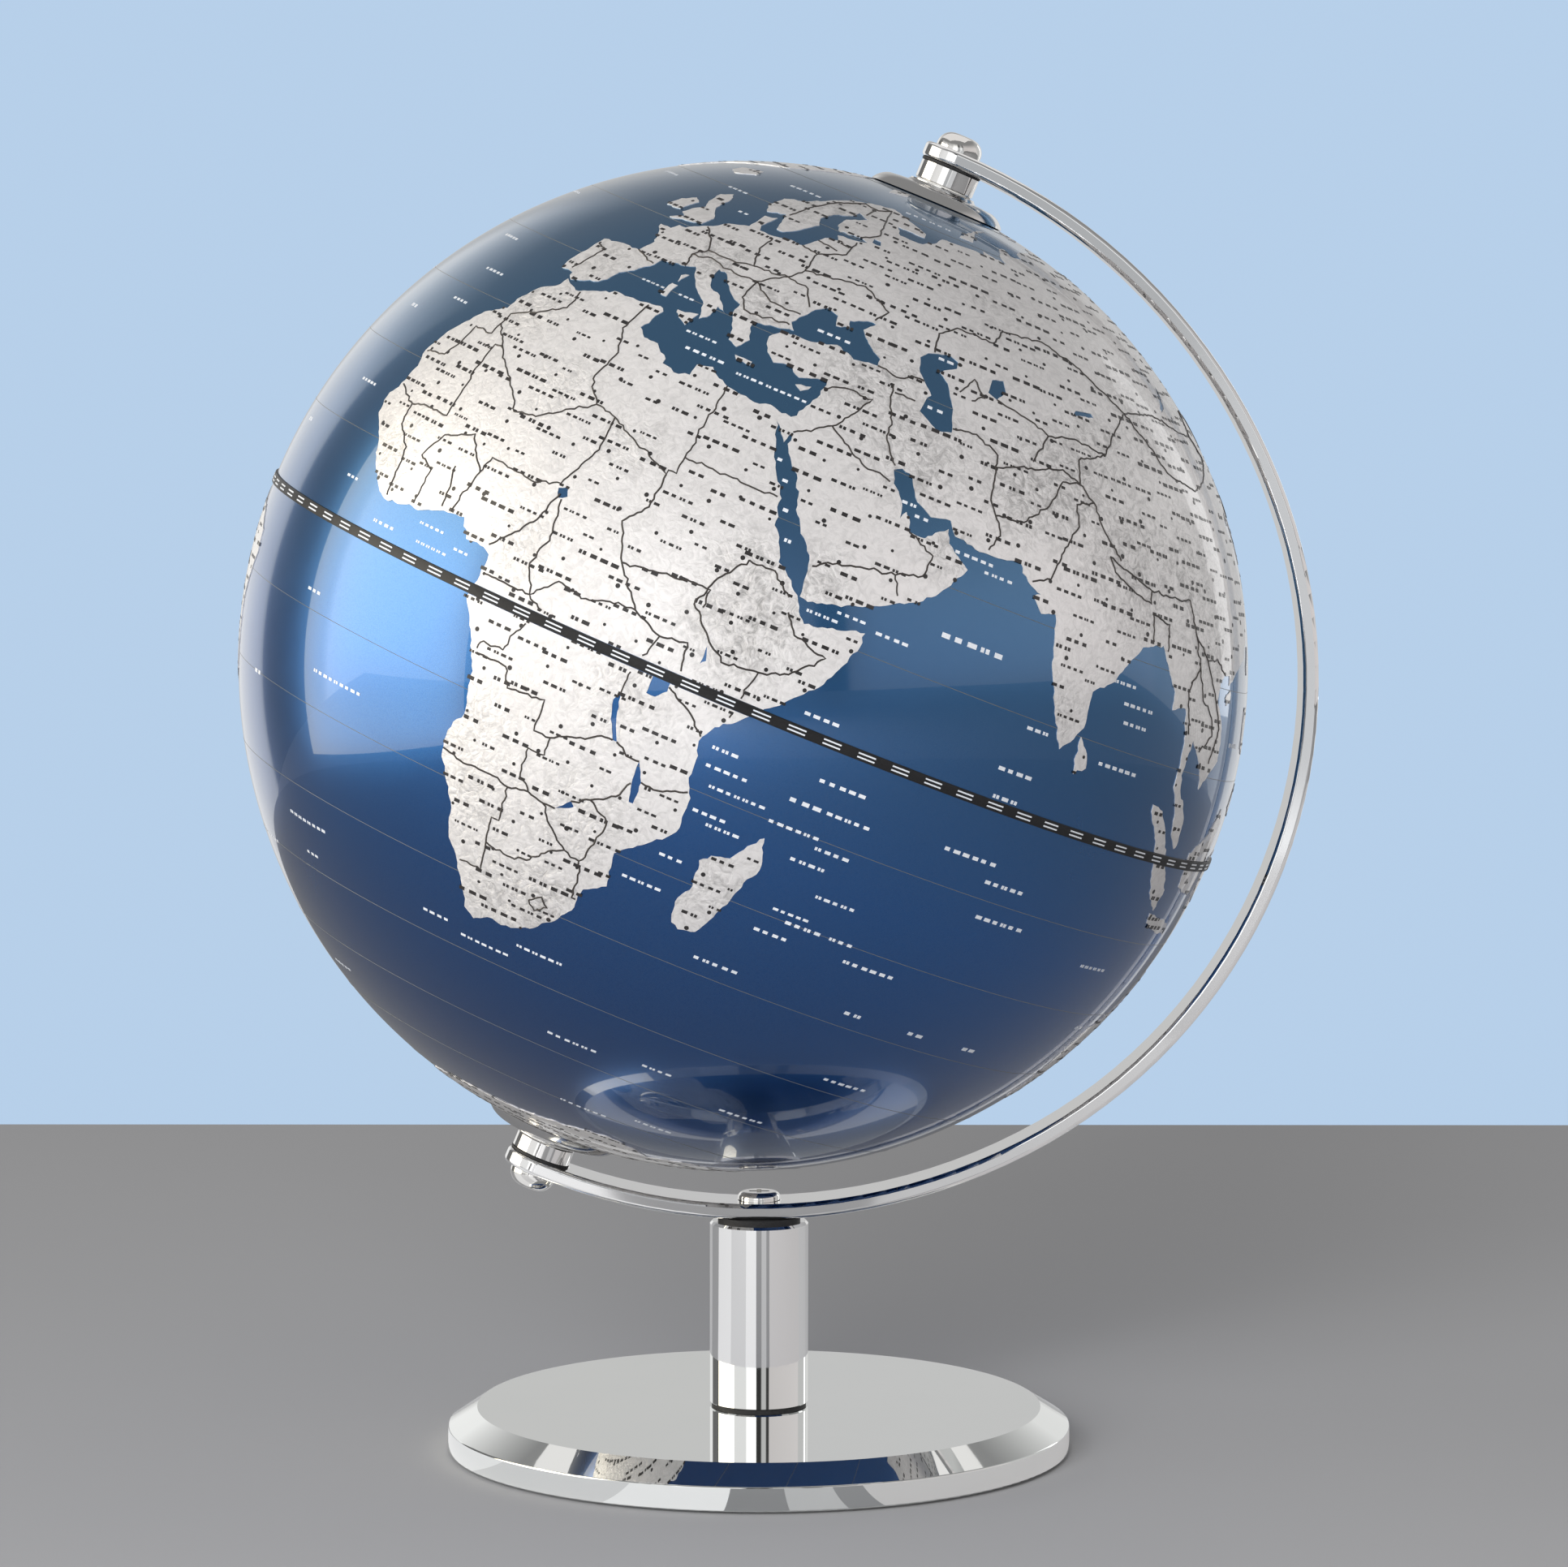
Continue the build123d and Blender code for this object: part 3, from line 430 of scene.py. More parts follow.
def new_group(name, kind, inputs, outputs):
    """A node group with named sockets: inputs as (name, socket type, default)."""
    group = bpy.data.node_groups.new(name, kind)
    for label, socket_type, default in inputs:
        socket = group.interface.new_socket(label, in_out="INPUT", socket_type=socket_type)
        if default is not None:
            socket.default_value = default
    for label, socket_type in outputs:
        group.interface.new_socket(label, in_out="OUTPUT", socket_type=socket_type)
    return group, group.nodes.new("NodeGroupInput"), group.nodes.new("NodeGroupOutput")


def run_tree(name, tree, source, settings):
    """The tree's result on a source mesh, as a plain mesh object."""
    holder = bpy.data.objects.new(name + ".source", source)
    bpy.context.scene.collection.objects.link(holder)
    modifier = holder.modifiers.new("tree", "NODES")
    modifier.node_group = tree
    for item in tree.interface.items_tree:
        if item.item_type == "SOCKET" and item.in_out == "INPUT" and item.name in settings:
            modifier[item.identifier] = settings[item.name]
    bpy.context.view_layer.update()
    ready = holder.evaluated_get(bpy.context.evaluated_depsgraph_get())
    mesh = bpy.data.meshes.new_from_object(ready)
    holder.modifiers.remove(modifier)
    bpy.data.objects.remove(holder)
    mesh.name = name
    piece = bpy.data.objects.new(name, mesh)
    bpy.context.scene.collection.objects.link(piece)
    return piece


# ---------------------------------------------------------------- helpers for meshes
def mesh_piece(name, points, faces, material, smooth=True, sharp=35.0, recalc=True):
    mesh = bpy.data.meshes.new(name)
    mesh.from_pydata(points, [], faces)
    if recalc:
        work = bmesh.new()
        work.from_mesh(mesh)
        bmesh.ops.recalc_face_normals(work, faces=work.faces)
        work.to_mesh(mesh)
        work.free()
    if smooth:
        mesh.shade_smooth()
        mesh.set_sharp_from_angle(angle=math.radians(sharp))
    mesh.materials.append(material)
    piece = bpy.data.objects.new(name, mesh)
    bpy.context.scene.collection.objects.link(piece)
    return piece


def turned(name, outline, origin, axis, material, steps=288, sharp=35.0):
    """A closed outline of (radius, height) in millimetres, turned round an axis."""
    axis = axis.normalized()
    side = axis.orthogonal().normalized()
    across = axis.cross(side)
    points = []
    for i in range(steps):
        a = 2 * math.pi * i / steps
        out = side * math.cos(a) + across * math.sin(a)
        points += [(origin + out * r + axis * h) * MM for r, h in outline]
    n = len(outline)
    faces = []
    for i in range(steps):
        here, there = i * n, (i + 1) % steps * n
        for k in range(n):
            m = (k + 1) % n
            faces.append((here + k, there + k, there + m, here + m))
    return mesh_piece(name, points, faces, material, sharp=sharp)


# ---------------------------------------------------------------- shared surface effects
def handling_marks():
    """Faint smears and hair scratches on polished and lacquered surfaces."""
    tree, given, out = new_group(
        "handling_marks",
        "ShaderNodeTree",
        [("Vector", "NodeSocketVector", None), ("Base roughness", "NodeSocketFloat", 0.05),
         ("Smear", "NodeSocketFloat", 0.04), ("Scratch", "NodeSocketFloat", 0.02)],
        [("Roughness", "NodeSocketFloat"), ("Height", "NodeSocketFloat")],
    )
    smear = add(tree, "ShaderNodeTexNoise", {"Vector": given.outputs["Vector"], "Scale": 34.0,
                                             "Detail": 5.0, "Roughness": 0.6, "Distortion": 0.6})
    level = add(tree, "ShaderNodeMapRange", {"Value": smear.outputs["Fac"], "From Min": 0.45,
                                             "From Max": 0.8})
    stretch = add(tree, "ShaderNodeMapping", {"Vector": given.outputs["Vector"],
                                              "Rotation": (0.5, 0.9, 0.3), "Scale": (60, 2200, 900)})
    hair = add(tree, "ShaderNodeTexNoise", {"Vector": stretch.outputs["Vector"], "Scale": 1.0,
                                            "Detail": 2.0})
    thin = add(tree, "ShaderNodeMapRange", {"Value": hair.outputs["Fac"], "From Min": 0.66,
                                            "From Max": 0.8})
    a = add(tree, "ShaderNodeMath", {0: level.outputs["Result"], 1: given.outputs["Smear"]},
            operation="MULTIPLY")
    b = add(tree, "ShaderNodeMath", {0: thin.outputs["Result"], 1: given.outputs["Scratch"]},
            operation="MULTIPLY")
    c = add(tree, "ShaderNodeMath", {0: a.outputs[0], 1: b.outputs[0]}, operation="ADD")
    d = add(tree, "ShaderNodeMath", {0: c.outputs[0], 1: given.outputs["Base roughness"]},
            operation="ADD")
    tree.links.new(d.outputs[0], out.inputs["Roughness"])
    tree.links.new(thin.outputs["Result"], out.inputs["Height"])
    return tree


def fine_grain():
    """Small grain for rubber, foam, nylon and ink: a height and a light-dark mask."""
    tree, given, out = new_group(
        "fine_grain",
        "ShaderNodeTree",
        [("Vector", "NodeSocketVector", None), ("Grain size", "NodeSocketFloat", 1500.0),
         ("Dark", "NodeSocketColor", (0, 0, 0, 1)), ("Light", "NodeSocketColor", (1, 1, 1, 1))],
        [("Color", "NodeSocketColor"), ("Height", "NodeSocketFloat")],
    )
    grain = add(tree, "ShaderNodeTexNoise", {"Vector": given.outputs["Vector"],
                                             "Scale": given.outputs["Grain size"], "Detail": 3.0,
                                             "Roughness": 0.6})
    blot = add(tree, "ShaderNodeTexNoise", {"Vector": given.outputs["Vector"], "Scale": 45.0,
                                            "Detail": 3.0})
    both = add(tree, "ShaderNodeMath", {0: grain.outputs["Fac"], 1: blot.outputs["Fac"]},
               operation="MULTIPLY")
    level = add(tree, "ShaderNodeMapRange", {"Value": both.outputs[0], "From Min": 0.12,
                                             "From Max": 0.42})
    tint = add(tree, "ShaderNodeMix", {"Factor": level.outputs["Result"], 6: given.outputs["Dark"],
                                       7: given.outputs["Light"]}, data_type="RGBA")
    tree.links.new(tint.outputs[2], out.inputs["Color"])
    tree.links.new(grain.outputs["Fac"], out.inputs["Height"])
    return tree


marks_group = handling_marks()
grain_group = fine_grain()


def material(name, **sockets):
    """A material with its shader and Object coordinates; constants go straight on the shader."""
    made = bpy.data.materials.new(name)
    made.use_nodes = True
    shader = made.node_tree.nodes["Principled BSDF"]
    for socket, value in sockets.items():
        shader.inputs[socket.replace("_", " ")].default_value = value
    place = made.node_tree.nodes.new("ShaderNodeTexCoord").outputs["Object"]
    return made, made.node_tree, shader, place


def polished(name, tone, spot, roughness, smear=0.03, scratch=0.03, bump=0.02):
    made, tree, shader, place = material(name, Metallic=1.0)
    marks = add(tree, "ShaderNodeGroup", node_tree=marks_group)
    marks.inputs["Base roughness"].default_value = roughness
    marks.inputs["Smear"].default_value = smear
    marks.inputs["Scratch"].default_value = scratch
    tree.links.new(place, marks.inputs["Vector"])
    tree.links.new(marks.outputs["Roughness"], shader.inputs["Roughness"])
    cloud = add(tree, "ShaderNodeTexNoise", {"Vector": place, "Scale": 55.0, "Detail": 4.0})
    tint = add(tree, "ShaderNodeMix", {"Factor": cloud.outputs["Fac"], 6: (*tone, 1), 7: (*spot, 1)},
               data_type="RGBA")
    tree.links.new(tint.outputs[2], shader.inputs["Base Color"])
    rise = add(tree, "ShaderNodeBump", {"Height": marks.outputs["Height"], "Strength": bump,
                                        "Distance": 0.00002}, invert=True)
    tree.links.new(rise.outputs["Normal"], shader.inputs["Normal"])
    return made


def grained(name, dark, light, roughness, grain_size, bump, metallic=0.0, coat=0.0):
    made, tree, shader, place = material(name, Roughness=roughness, Metallic=metallic, Coat_Weight=coat)
    grain = add(tree, "ShaderNodeGroup", node_tree=grain_group)
    grain.inputs["Grain size"].default_value = grain_size
    grain.inputs["Dark"].default_value = (*dark, 1)
    grain.inputs["Light"].default_value = (*light, 1)
    tree.links.new(place, grain.inputs["Vector"])
    tree.links.new(grain.outputs["Color"], shader.inputs["Base Color"])
    rise = add(tree, "ShaderNodeBump", {"Height": grain.outputs["Height"], "Strength": bump,
                                        "Distance": 0.0001})
    tree.links.new(rise.outputs["Normal"], shader.inputs["Normal"])
    return made


def sea_lacquer():
    """Blue metal-flake ink under clear lacquer, lighter to the north and darkened towards the south pole as
    painted shade.
    """
    made, tree, shader, place = material("sea_blue_metallic", Metallic=0.9, Coat_Weight=1.0,
                                         Coat_Roughness=0.025, Coat_IOR=1.55)
    # painted shade: the blue is darkened from the north towards the south pole along the ball's axis
    shift = add(tree, "ShaderNodeMapping", {"Vector": place, "Location": tuple(-ball_centre * MM)})
    along = add(tree, "ShaderNodeVectorMath", {0: shift.outputs["Vector"], 1: tuple(north)},
                operation="DOT_PRODUCT")
    south_shade = add(tree, "ShaderNodeMapRange", {"Value": along.outputs["Value"], "From Min": -0.095,
                                             "From Max": 0.045})
    ramp = add(tree, "ShaderNodeValToRGB", {"Fac": south_shade.outputs["Result"]})
    ramp.color_ramp.elements[0].color = (0.008, 0.058, 0.22, 1)
    ramp.color_ramp.elements[1].color = (0.06, 0.19, 0.37, 1)
    middle = ramp.color_ramp.elements.new(0.5)
    middle.color = (0.017, 0.13, 0.42, 1)
    flake = add(tree, "ShaderNodeTexVoronoi", {"Vector": place, "Scale": 4200.0})
    fleck = add(tree, "ShaderNodeMapRange", {"Value": flake.outputs["Distance"], "From Min": 0.2,
                                             "From Max": 0.9, "To Min": 0.06, "To Max": 0.0})
    tint = add(tree, "ShaderNodeMix", {"Factor": fleck.outputs["Result"], 6: ramp.outputs["Color"],
                                       7: (0.35, 0.6, 0.85, 1)}, data_type="RGBA")
    tree.links.new(tint.outputs[2], shader.inputs["Base Color"])
    marks = add(tree, "ShaderNodeGroup", node_tree=marks_group)
    marks.inputs["Base roughness"].default_value = 0.24
    marks.inputs["Smear"].default_value = 0.05
    marks.inputs["Scratch"].default_value = 0.0
    tree.links.new(place, marks.inputs["Vector"])
    tree.links.new(marks.outputs["Roughness"], shader.inputs["Roughness"])
    peel = add(tree, "ShaderNodeTexNoise", {"Vector": place, "Scale": 900.0, "Detail": 2.0})
    rise = add(tree, "ShaderNodeBump", {"Height": peel.outputs["Fac"], "Strength": 0.05,
                                        "Distance": 0.00005})
    tree.links.new(rise.outputs["Normal"], shader.inputs["Normal"])
    return made


def land_foil():
    """Embossed silver foil, finely crinkled, under the same lacquer, with painted shade darkening the crinkle
    hollows, more on high ground.
    """
    made, tree, shader, place = material("land_silver_foil", Metallic=0.45, Coat_Weight=0.7,
                                         Coat_Roughness=0.04)
    height = add(tree, "ShaderNodeAttribute", attribute_name="high_ground").outputs["Fac"]
    crease = add(tree, "ShaderNodeTexVoronoi", {"Vector": place, "Scale": 620.0},
                 feature="DISTANCE_TO_EDGE")
    edge = add(tree, "ShaderNodeMapRange", {"Value": crease.outputs["Distance"], "From Min": 0.0,
                                            "From Max": 0.25, "To Max": 0.2})
    hills = add(tree, "ShaderNodeTexNoise", {"Vector": place, "Scale": 430.0, "Detail": 7.0,
                                             "Roughness": 0.68, "Distortion": 1.6})
    tone = add(tree, "ShaderNodeTexNoise", {"Vector": place, "Scale": 26.0, "Detail": 5.0})
    total = add(tree, "ShaderNodeMath", {0: edge.outputs["Result"], 1: hills.outputs["Fac"]},
                operation="ADD")
    pressed = add(tree, "ShaderNodeMapRange", {"Value": height, "To Min": 0.4, "To Max": 1.5})
    relief_height = add(tree, "ShaderNodeMath", {0: total.outputs[0], 1: pressed.outputs["Result"]},
                        operation="MULTIPLY")
    tint = add(tree, "ShaderNodeMix", {"Factor": tone.outputs["Fac"], 6: (0.84, 0.815, 0.81, 1),
                                       7: (0.92, 0.90, 0.895, 1)}, data_type="RGBA")
    # painted shade: the low parts of the crinkle noise darken the foil colour, down to half on high ground
    deepest_crease_shade = add(tree, "ShaderNodeMapRange", {"Value": height, "To Min": 0.86, "To Max": 0.5})
    shade = add(tree, "ShaderNodeMapRange", {"Value": hills.outputs["Fac"], "From Min": 0.36,
                                             "From Max": 0.56, "To Min": deepest_crease_shade.outputs["Result"],
                                             "To Max": 1.0})
    crease_shaded_foil = add(tree, "ShaderNodeMix", {"Factor": 1.0, 6: tint.outputs[2], 7: shade.outputs["Result"]},
               data_type="RGBA", blend_type="MULTIPLY")
    tree.links.new(crease_shaded_foil.outputs[2], shader.inputs["Base Color"])
    rough = add(tree, "ShaderNodeMapRange", {"Value": tone.outputs["Fac"], "From Min": 0.3,
                                             "From Max": 0.7, "To Min": 0.32, "To Max": 0.42})
    tree.links.new(rough.outputs["Result"], shader.inputs["Roughness"])
    rise = add(tree, "ShaderNodeBump", {"Height": relief_height.outputs[0], "Strength": 0.7,
                                        "Distance": 0.0004})
    tree.links.new(rise.outputs["Normal"], shader.inputs["Normal"])
    return made


sea_blue = sea_lacquer()
foil = land_foil()
chrome_base = polished("chrome_base", (0.90, 0.91, 0.90), (0.86, 0.88, 0.87), 0.02)
chrome_column = polished("chrome_column", (0.90, 0.90, 0.90), (0.87, 0.87, 0.87), 0.03)
chrome_arm = polished("chrome_arm", (0.90, 0.90, 0.90), (0.86, 0.86, 0.86), 0.05)
chrome_screw = polished("chrome_screw", (0.88, 0.87, 0.85), (0.82, 0.81, 0.79), 0.07)
chrome_sleeve = polished("chrome_sleeve", (0.90, 0.89, 0.88), (0.85, 0.84, 0.83), 0.06)
silver_cap = polished("silver_cap", (0.86, 0.85, 0.84), (0.80, 0.79, 0.78), 0.14, 0.05, 0.04)
plain_steel = polished("plain_steel", (0.58, 0.58, 0.58), (0.48, 0.48, 0.49), 0.25, 0.15, 0.1, 0.1)
rubber = grained("black_rubber", (0.012, 0.012, 0.013), (0.03, 0.03, 0.031), 0.6, 2600, 0.25)
foam = grained("foot_foam", (0.015, 0.015, 0.016), (0.045, 0.045, 0.047), 0.9, 1700, 0.8)
nylon = grained("white_nylon", (0.72, 0.71, 0.68), (0.8, 0.79, 0.76), 0.42, 1900, 0.1)
ring_plastic = grained("ring_plastic", (0.6, 0.6, 0.6), (0.7, 0.7, 0.69), 0.5, 1500, 0.15)
tape = grained("band_black_tape", (0.006, 0.006, 0.007), (0.014, 0.014, 0.015), 0.5, 2400, 0.1, coat=0.1)
ink_black = grained("ink_black", (0.012, 0.011, 0.012), (0.03, 0.026, 0.026), 0.45, 3000, 0.1, coat=0.5)
ink_brown = grained("ink_dark_brown", (0.025, 0.02, 0.018), (0.05, 0.042, 0.037), 0.45, 3000, 0.1, coat=0.5)
ink_white = grained("ink_white", (0.62, 0.66, 0.72), (0.8, 0.82, 0.86), 0.45, 3000, 0.1, coat=0.5)
ink_slate = grained("ink_slate", (0.11, 0.12, 0.13), (0.16, 0.16, 0.14), 0.45, 3000, 0.1, coat=0.5)

finish = {
    "base_plate": chrome_base, "column": chrome_column, "arm": chrome_arm, "arm_screw": chrome_screw,
    "north_pivot_screw": chrome_screw, "south_pivot_screw": chrome_screw,
    "north_sleeve": chrome_sleeve, "south_sleeve": chrome_sleeve,
    "north_pole_cap": silver_cap, "south_pole_cap": silver_cap,
    "base_bolt": plain_steel, "base_bolt_washer": plain_steel,
    "column_gasket": rubber, "arm_gasket": rubber, "north_washer": rubber, "south_washer": rubber,
    "foot_pad": foam, "north_bush": nylon, "south_bush": nylon,
    "north_slip_washer": nylon, "south_slip_washer": nylon, "joining_ring": ring_plastic,
}
for node_name, surface in finish.items():
    slots = nodes[node_name].data.materials
    slots.clear()
    slots.append(surface)

# ---------------------------------------------------------------- the printed shells and the band
for side, axis in (("north", north), ("south", south)):
    outline = [(pole_hole_r, math.sqrt(100.0 ** 2 - pole_hole_r ** 2))]
    for degrees in (3.5, 5.0, 6.5, 7.5):
        a = math.radians(degrees)
        outline.append((100.0 * math.sin(a), 100.0 * math.cos(a)))
    for degrees in range(8, 90):
        a = math.radians(degrees)
        outline.append((sea_r * math.sin(a), sea_r * math.cos(a)))
    outline += [
        (math.sqrt(sea_r ** 2 - seam_half ** 2), seam_half),
        (groove_r, seam_half),
        (groove_r, 0.01),
        (shell_in, 0.01),
    ]
    for degrees in range(87, 6, -3):
        a = math.radians(degrees)
        outline.append((shell_in * math.sin(a), shell_in * math.cos(a)))
    outline += [
        (boss_r, math.sqrt(shell_in ** 2 - boss_r ** 2)),
        (boss_r, boss_in),
        (pole_hole_r, boss_in),
    ]
    shell = turned(side + "_sea_shell", outline, ball_centre, axis, sea_blue, steps=300, sharp=40)
    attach(shell, "globe")
    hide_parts(side + "_hemisphere")

band = turned(
    "equator_band_tape",
    [(99.52, -band_half), (100.1, -band_half), (100.16, -0.97), (band_r, -0.9), (band_r, 0.9),
     (100.16, 0.97), (100.1, band_half), (99.52, band_half)],
    ball_centre, north, tape, steps=360,
)
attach(band, "globe")
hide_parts("equator_band")


# ---------------------------------------------------------------- raised land
def rough_edge(outline, closed=True, step=0.6, wander=0.32):
    """Points along an outline at short steps, wandering a little from side to side."""
    walked = []
    legs = len(outline) if closed else len(outline) - 1
    for i in range(legs):
        a = Vector(outline[i])
        b = Vector(outline[(i + 1) % len(outline)])
        leg = b - a
        length = math.hypot(leg.x * math.cos(math.radians((a.y + b.y) / 2)), leg.y)
        count = max(1, math.ceil(length / step))
        side = Vector((-leg.y, leg.x)).normalized() if leg.length else Vector((0, 0))
        on_date_line = abs(a.x) > 179.5 and abs(b.x) > 179.5
        for k in range(count):
            t = k / count
            point = a.lerp(b, t)
            sway = noise.noise(Vector((point.x * 0.9, point.y * 0.9, 3.0)))
            sway += 0.6 * noise.noise(Vector((point.x * 2.3, point.y * 2.3, 8.0)))
            fade = min(1.0, 4 * t * (1 - t) + 0.35) if k else 0.0
            if on_date_line or abs(point.x) > 179.5:
                fade = 0.0
            walked.append(point + side * sway * wander * fade)
    if not closed:
        walked.append(Vector(outline[-1]))
    return walked


def inside(xs, ys, ring):
    """Which of the points lie inside the ring, for arrays."""
    hit = np.zeros(len(xs), bool)
    n = len(ring)
    for i in range(n):
        x0, y0 = ring[i]
        x1, y1 = ring[(i + 1) % n]
        if y0 == y1:
            continue
        span = (ys > y0) != (ys > y1)
        hit ^= span & (xs < (x1 - x0) * (ys - y0) / (y1 - y0) + x0)
    return hit


def flat_ring(ring):
    return [(p.x * math.cos(math.radians(p.y)), p.y) for p in ring]


land_rings = [flat_ring(rough_edge(o)) for o in
              [africa, eurasia, north_america, south_america, australia, greenland] + islands]
land_rings.append(flat_ring(rough_edge(antarctica, wander=0.6)))
lake_rings = [flat_ring(rough_edge(o, wander=0.15)) for o in lakes]
relief = np.array(high_ground)


def is_land(xs, ys):
    hit = np.zeros(len(xs), bool)
    for ring in land_rings:
        hit |= inside(xs, ys, ring)
    for ring in lake_rings:
        hit &= ~inside(xs, ys, ring)
    return hit


def land_piece(name, sign):
    """Closed foil patches of one hemisphere: top, side walls and an underside let into the shell."""
    rise = 0.62
    spacing = 0.66
    points = []
    edges = []
    for ring in land_rings + lake_rings:
        start = len(points)
        points += [Vector(p) for p in ring]
        edges += [(start + i, start + (i + 1) % len(ring)) for i in range(len(ring))]
    start = len(points)
    points += [Vector((x, sign * rise)) for x in np.arange(-181, 182, 0.5)]
    edges += [(start + i, start + i + 1) for i in range(len(points) - start - 1)]
    rows = np.arange(rise + spacing, 84, spacing * 0.87)
    xs = []
    ys = []
    for i, row in enumerate(rows):
        reach = 191 * math.cos(math.radians(row))
        line = np.arange(-reach, reach, spacing) + (spacing / 2 if i % 2 else 0)
        xs.append(line)
        ys.append(np.full(len(line), sign * row))
    xs = np.concatenate(xs)
    ys = np.concatenate(ys)
    keep = is_land(xs, ys)
    xs, ys = xs[keep], ys[keep]
    shore = np.array([p[:] for p in points])
    cells = set()
    for x, y in shore:
        cells.add((round(x / 0.3), round(y / 0.3)))
    for x, y in zip(xs, ys):
        if (round(x / 0.3), round(y / 0.3)) not in cells:
            points.append(Vector((x, y)))
    found, _, faces, _, _, _ = delaunay_2d_cdt(points, edges, [], 0, 1e-5)
    flat = np.array([v[:] for v in found])
    tris = np.array(faces)
    middle = flat[tris].mean(axis=1)
    keep = is_land(middle[:, 0], middle[:, 1]) & (sign * middle[:, 1] > rise)
    tris = tris[keep]
    used = np.unique(tris)
    renumber = {int(v): i for i, v in enumerate(used)}
    work = bmesh.new()
    raised = work.verts.layers.float.new("high_ground")
    for v in used:
        x, lat = flat[v]
        lon = x / math.cos(math.radians(lat))
        close = np.hypot((relief[:, 0] - lon) * math.cos(math.radians(lat)), relief[:, 1] - lat)
        strength = float(np.max(relief[:, 3] * np.clip(1.4 - close / relief[:, 2], 0, 1)))
        spot = globe_point(lon, lat, 100)
        fold = noise.fractal(spot * 700, 0.6, 2.1, 4)
        lift = land_r + 0.012 * fold + 0.04 * strength * fold
        top = work.verts.new(globe_point(lon, lat, min(99.98, max(99.84, lift))))
        top[raised] = min(1.0, strength)
    work.verts.ensure_lookup_table()
    for a, b, c in tris:
        work.faces.new([work.verts[renumber[int(v)]] for v in (a, b, c)])
    bmesh.ops.remove_doubles(work, verts=work.verts, dist=2e-6)
    slivers = [f for f in work.faces if f.calc_area() < 1e-12]
    bmesh.ops.delete(work, geom=slivers, context="FACES_ONLY")
    centre = ball_centre * MM
    for face in work.faces:
        face.normal_update()
        if face.normal.dot(face.calc_center_median() - centre) < 0:
            face.normal_flip()
    tops = list(work.faces)
    rim = [e for e in work.edges if len(e.link_faces) == 1]
    under = {}
    for v in list(work.verts):
        under[v] = work.verts.new(centre + (v.co - centre).normalized() * land_under * MM)
    for edge in rim:
        loop = edge.link_loops[0]
        a, b = loop.vert, loop.link_loop_next.vert
        wall = work.faces.new((b, a, under[a], under[b]))
        wall.smooth = False
    for face in tops:
        work.faces.new([under[v] for v in reversed(face.verts)])
    mesh = bpy.data.meshes.new(name)
    work.to_mesh(mesh)
    work.free()
    mesh.shade_smooth()
    mesh.set_sharp_from_angle(angle=math.radians(50))
    mesh.materials.append(foil)
    piece = bpy.data.objects.new(name, mesh)
    bpy.context.scene.collection.objects.link(piece)
    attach(piece, "globe")
    return piece


land_north = land_piece("north_land_foil", 1)
land_south = land_piece("south_land_foil", -1)


# ---------------------------------------------------------------- trees for what is printed
def line_tree():
    """Edges become fine raised ink lines."""
    tree, given, out = new_group(
        "printed_lines", "GeometryNodeTree",
        [("Geometry", "NodeSocketGeometry", None), ("Half width", "NodeSocketFloat", 0.00015),
         ("Ink", "NodeSocketMaterial", None)],
        [("Geometry", "NodeSocketGeometry")],
    )
    path = add(tree, "GeometryNodeMeshToCurve", {"Mesh": given.outputs["Geometry"]})
    section = add(tree, "GeometryNodeCurvePrimitiveCircle",
                  {"Resolution": 5, "Radius": given.outputs["Half width"]})
    line = add(tree, "GeometryNodeCurveToMesh", {"Curve": path.outputs["Curve"],
                                                 "Profile Curve": section.outputs["Curve"],
                                                 "Fill Caps": True})
    real = add(tree, "GeometryNodeRealizeInstances", {"Geometry": line.outputs["Mesh"]})
    inked = add(tree, "GeometryNodeSetMaterial", {"Geometry": real.outputs["Geometry"],
                                                  "Material": given.outputs["Ink"]})
    tree.links.new(inked.outputs["Geometry"], out.inputs["Geometry"])
    return tree


def outward(tree):
    """The direction out of the ball at each point, taken from the point's place."""
    place = add(tree, "GeometryNodeInputPosition")
    from_centre = add(tree, "ShaderNodeVectorMath", {0: place.outputs[0], 1: tuple(ball_centre * MM)},
                      operation="SUBTRACT")
    return add(tree, "ShaderNodeVectorMath", {0: from_centre.outputs[0]}, operation="NORMALIZE").outputs[0]


def upright(tree):
    """A rotation with Z out of the ball and X to the east."""
    out = outward(tree)
    east = add(tree, "ShaderNodeVectorMath", {0: tuple(north), 1: out}, operation="CROSS_PRODUCT")
    stand = add(tree, "FunctionNodeAlignRotationToVector", {"Vector": out}, axis="Z")
    turn = add(tree, "FunctionNodeAlignRotationToVector",
               {"Rotation": stand.outputs[0], "Vector": east.outputs[0]}, axis="X", pivot_axis="Z")
    return turn.outputs[0], east.outputs[0]


# plain dashes that stand in for printed words, in a unit square: centre x, width
caption_dashes = [[(0.0, 0.74)], [(-0.05, 0.54)], [(0.04, 0.64)], [(-0.22, 0.28), (0.2, 0.3)]]
dash_height = 0.36


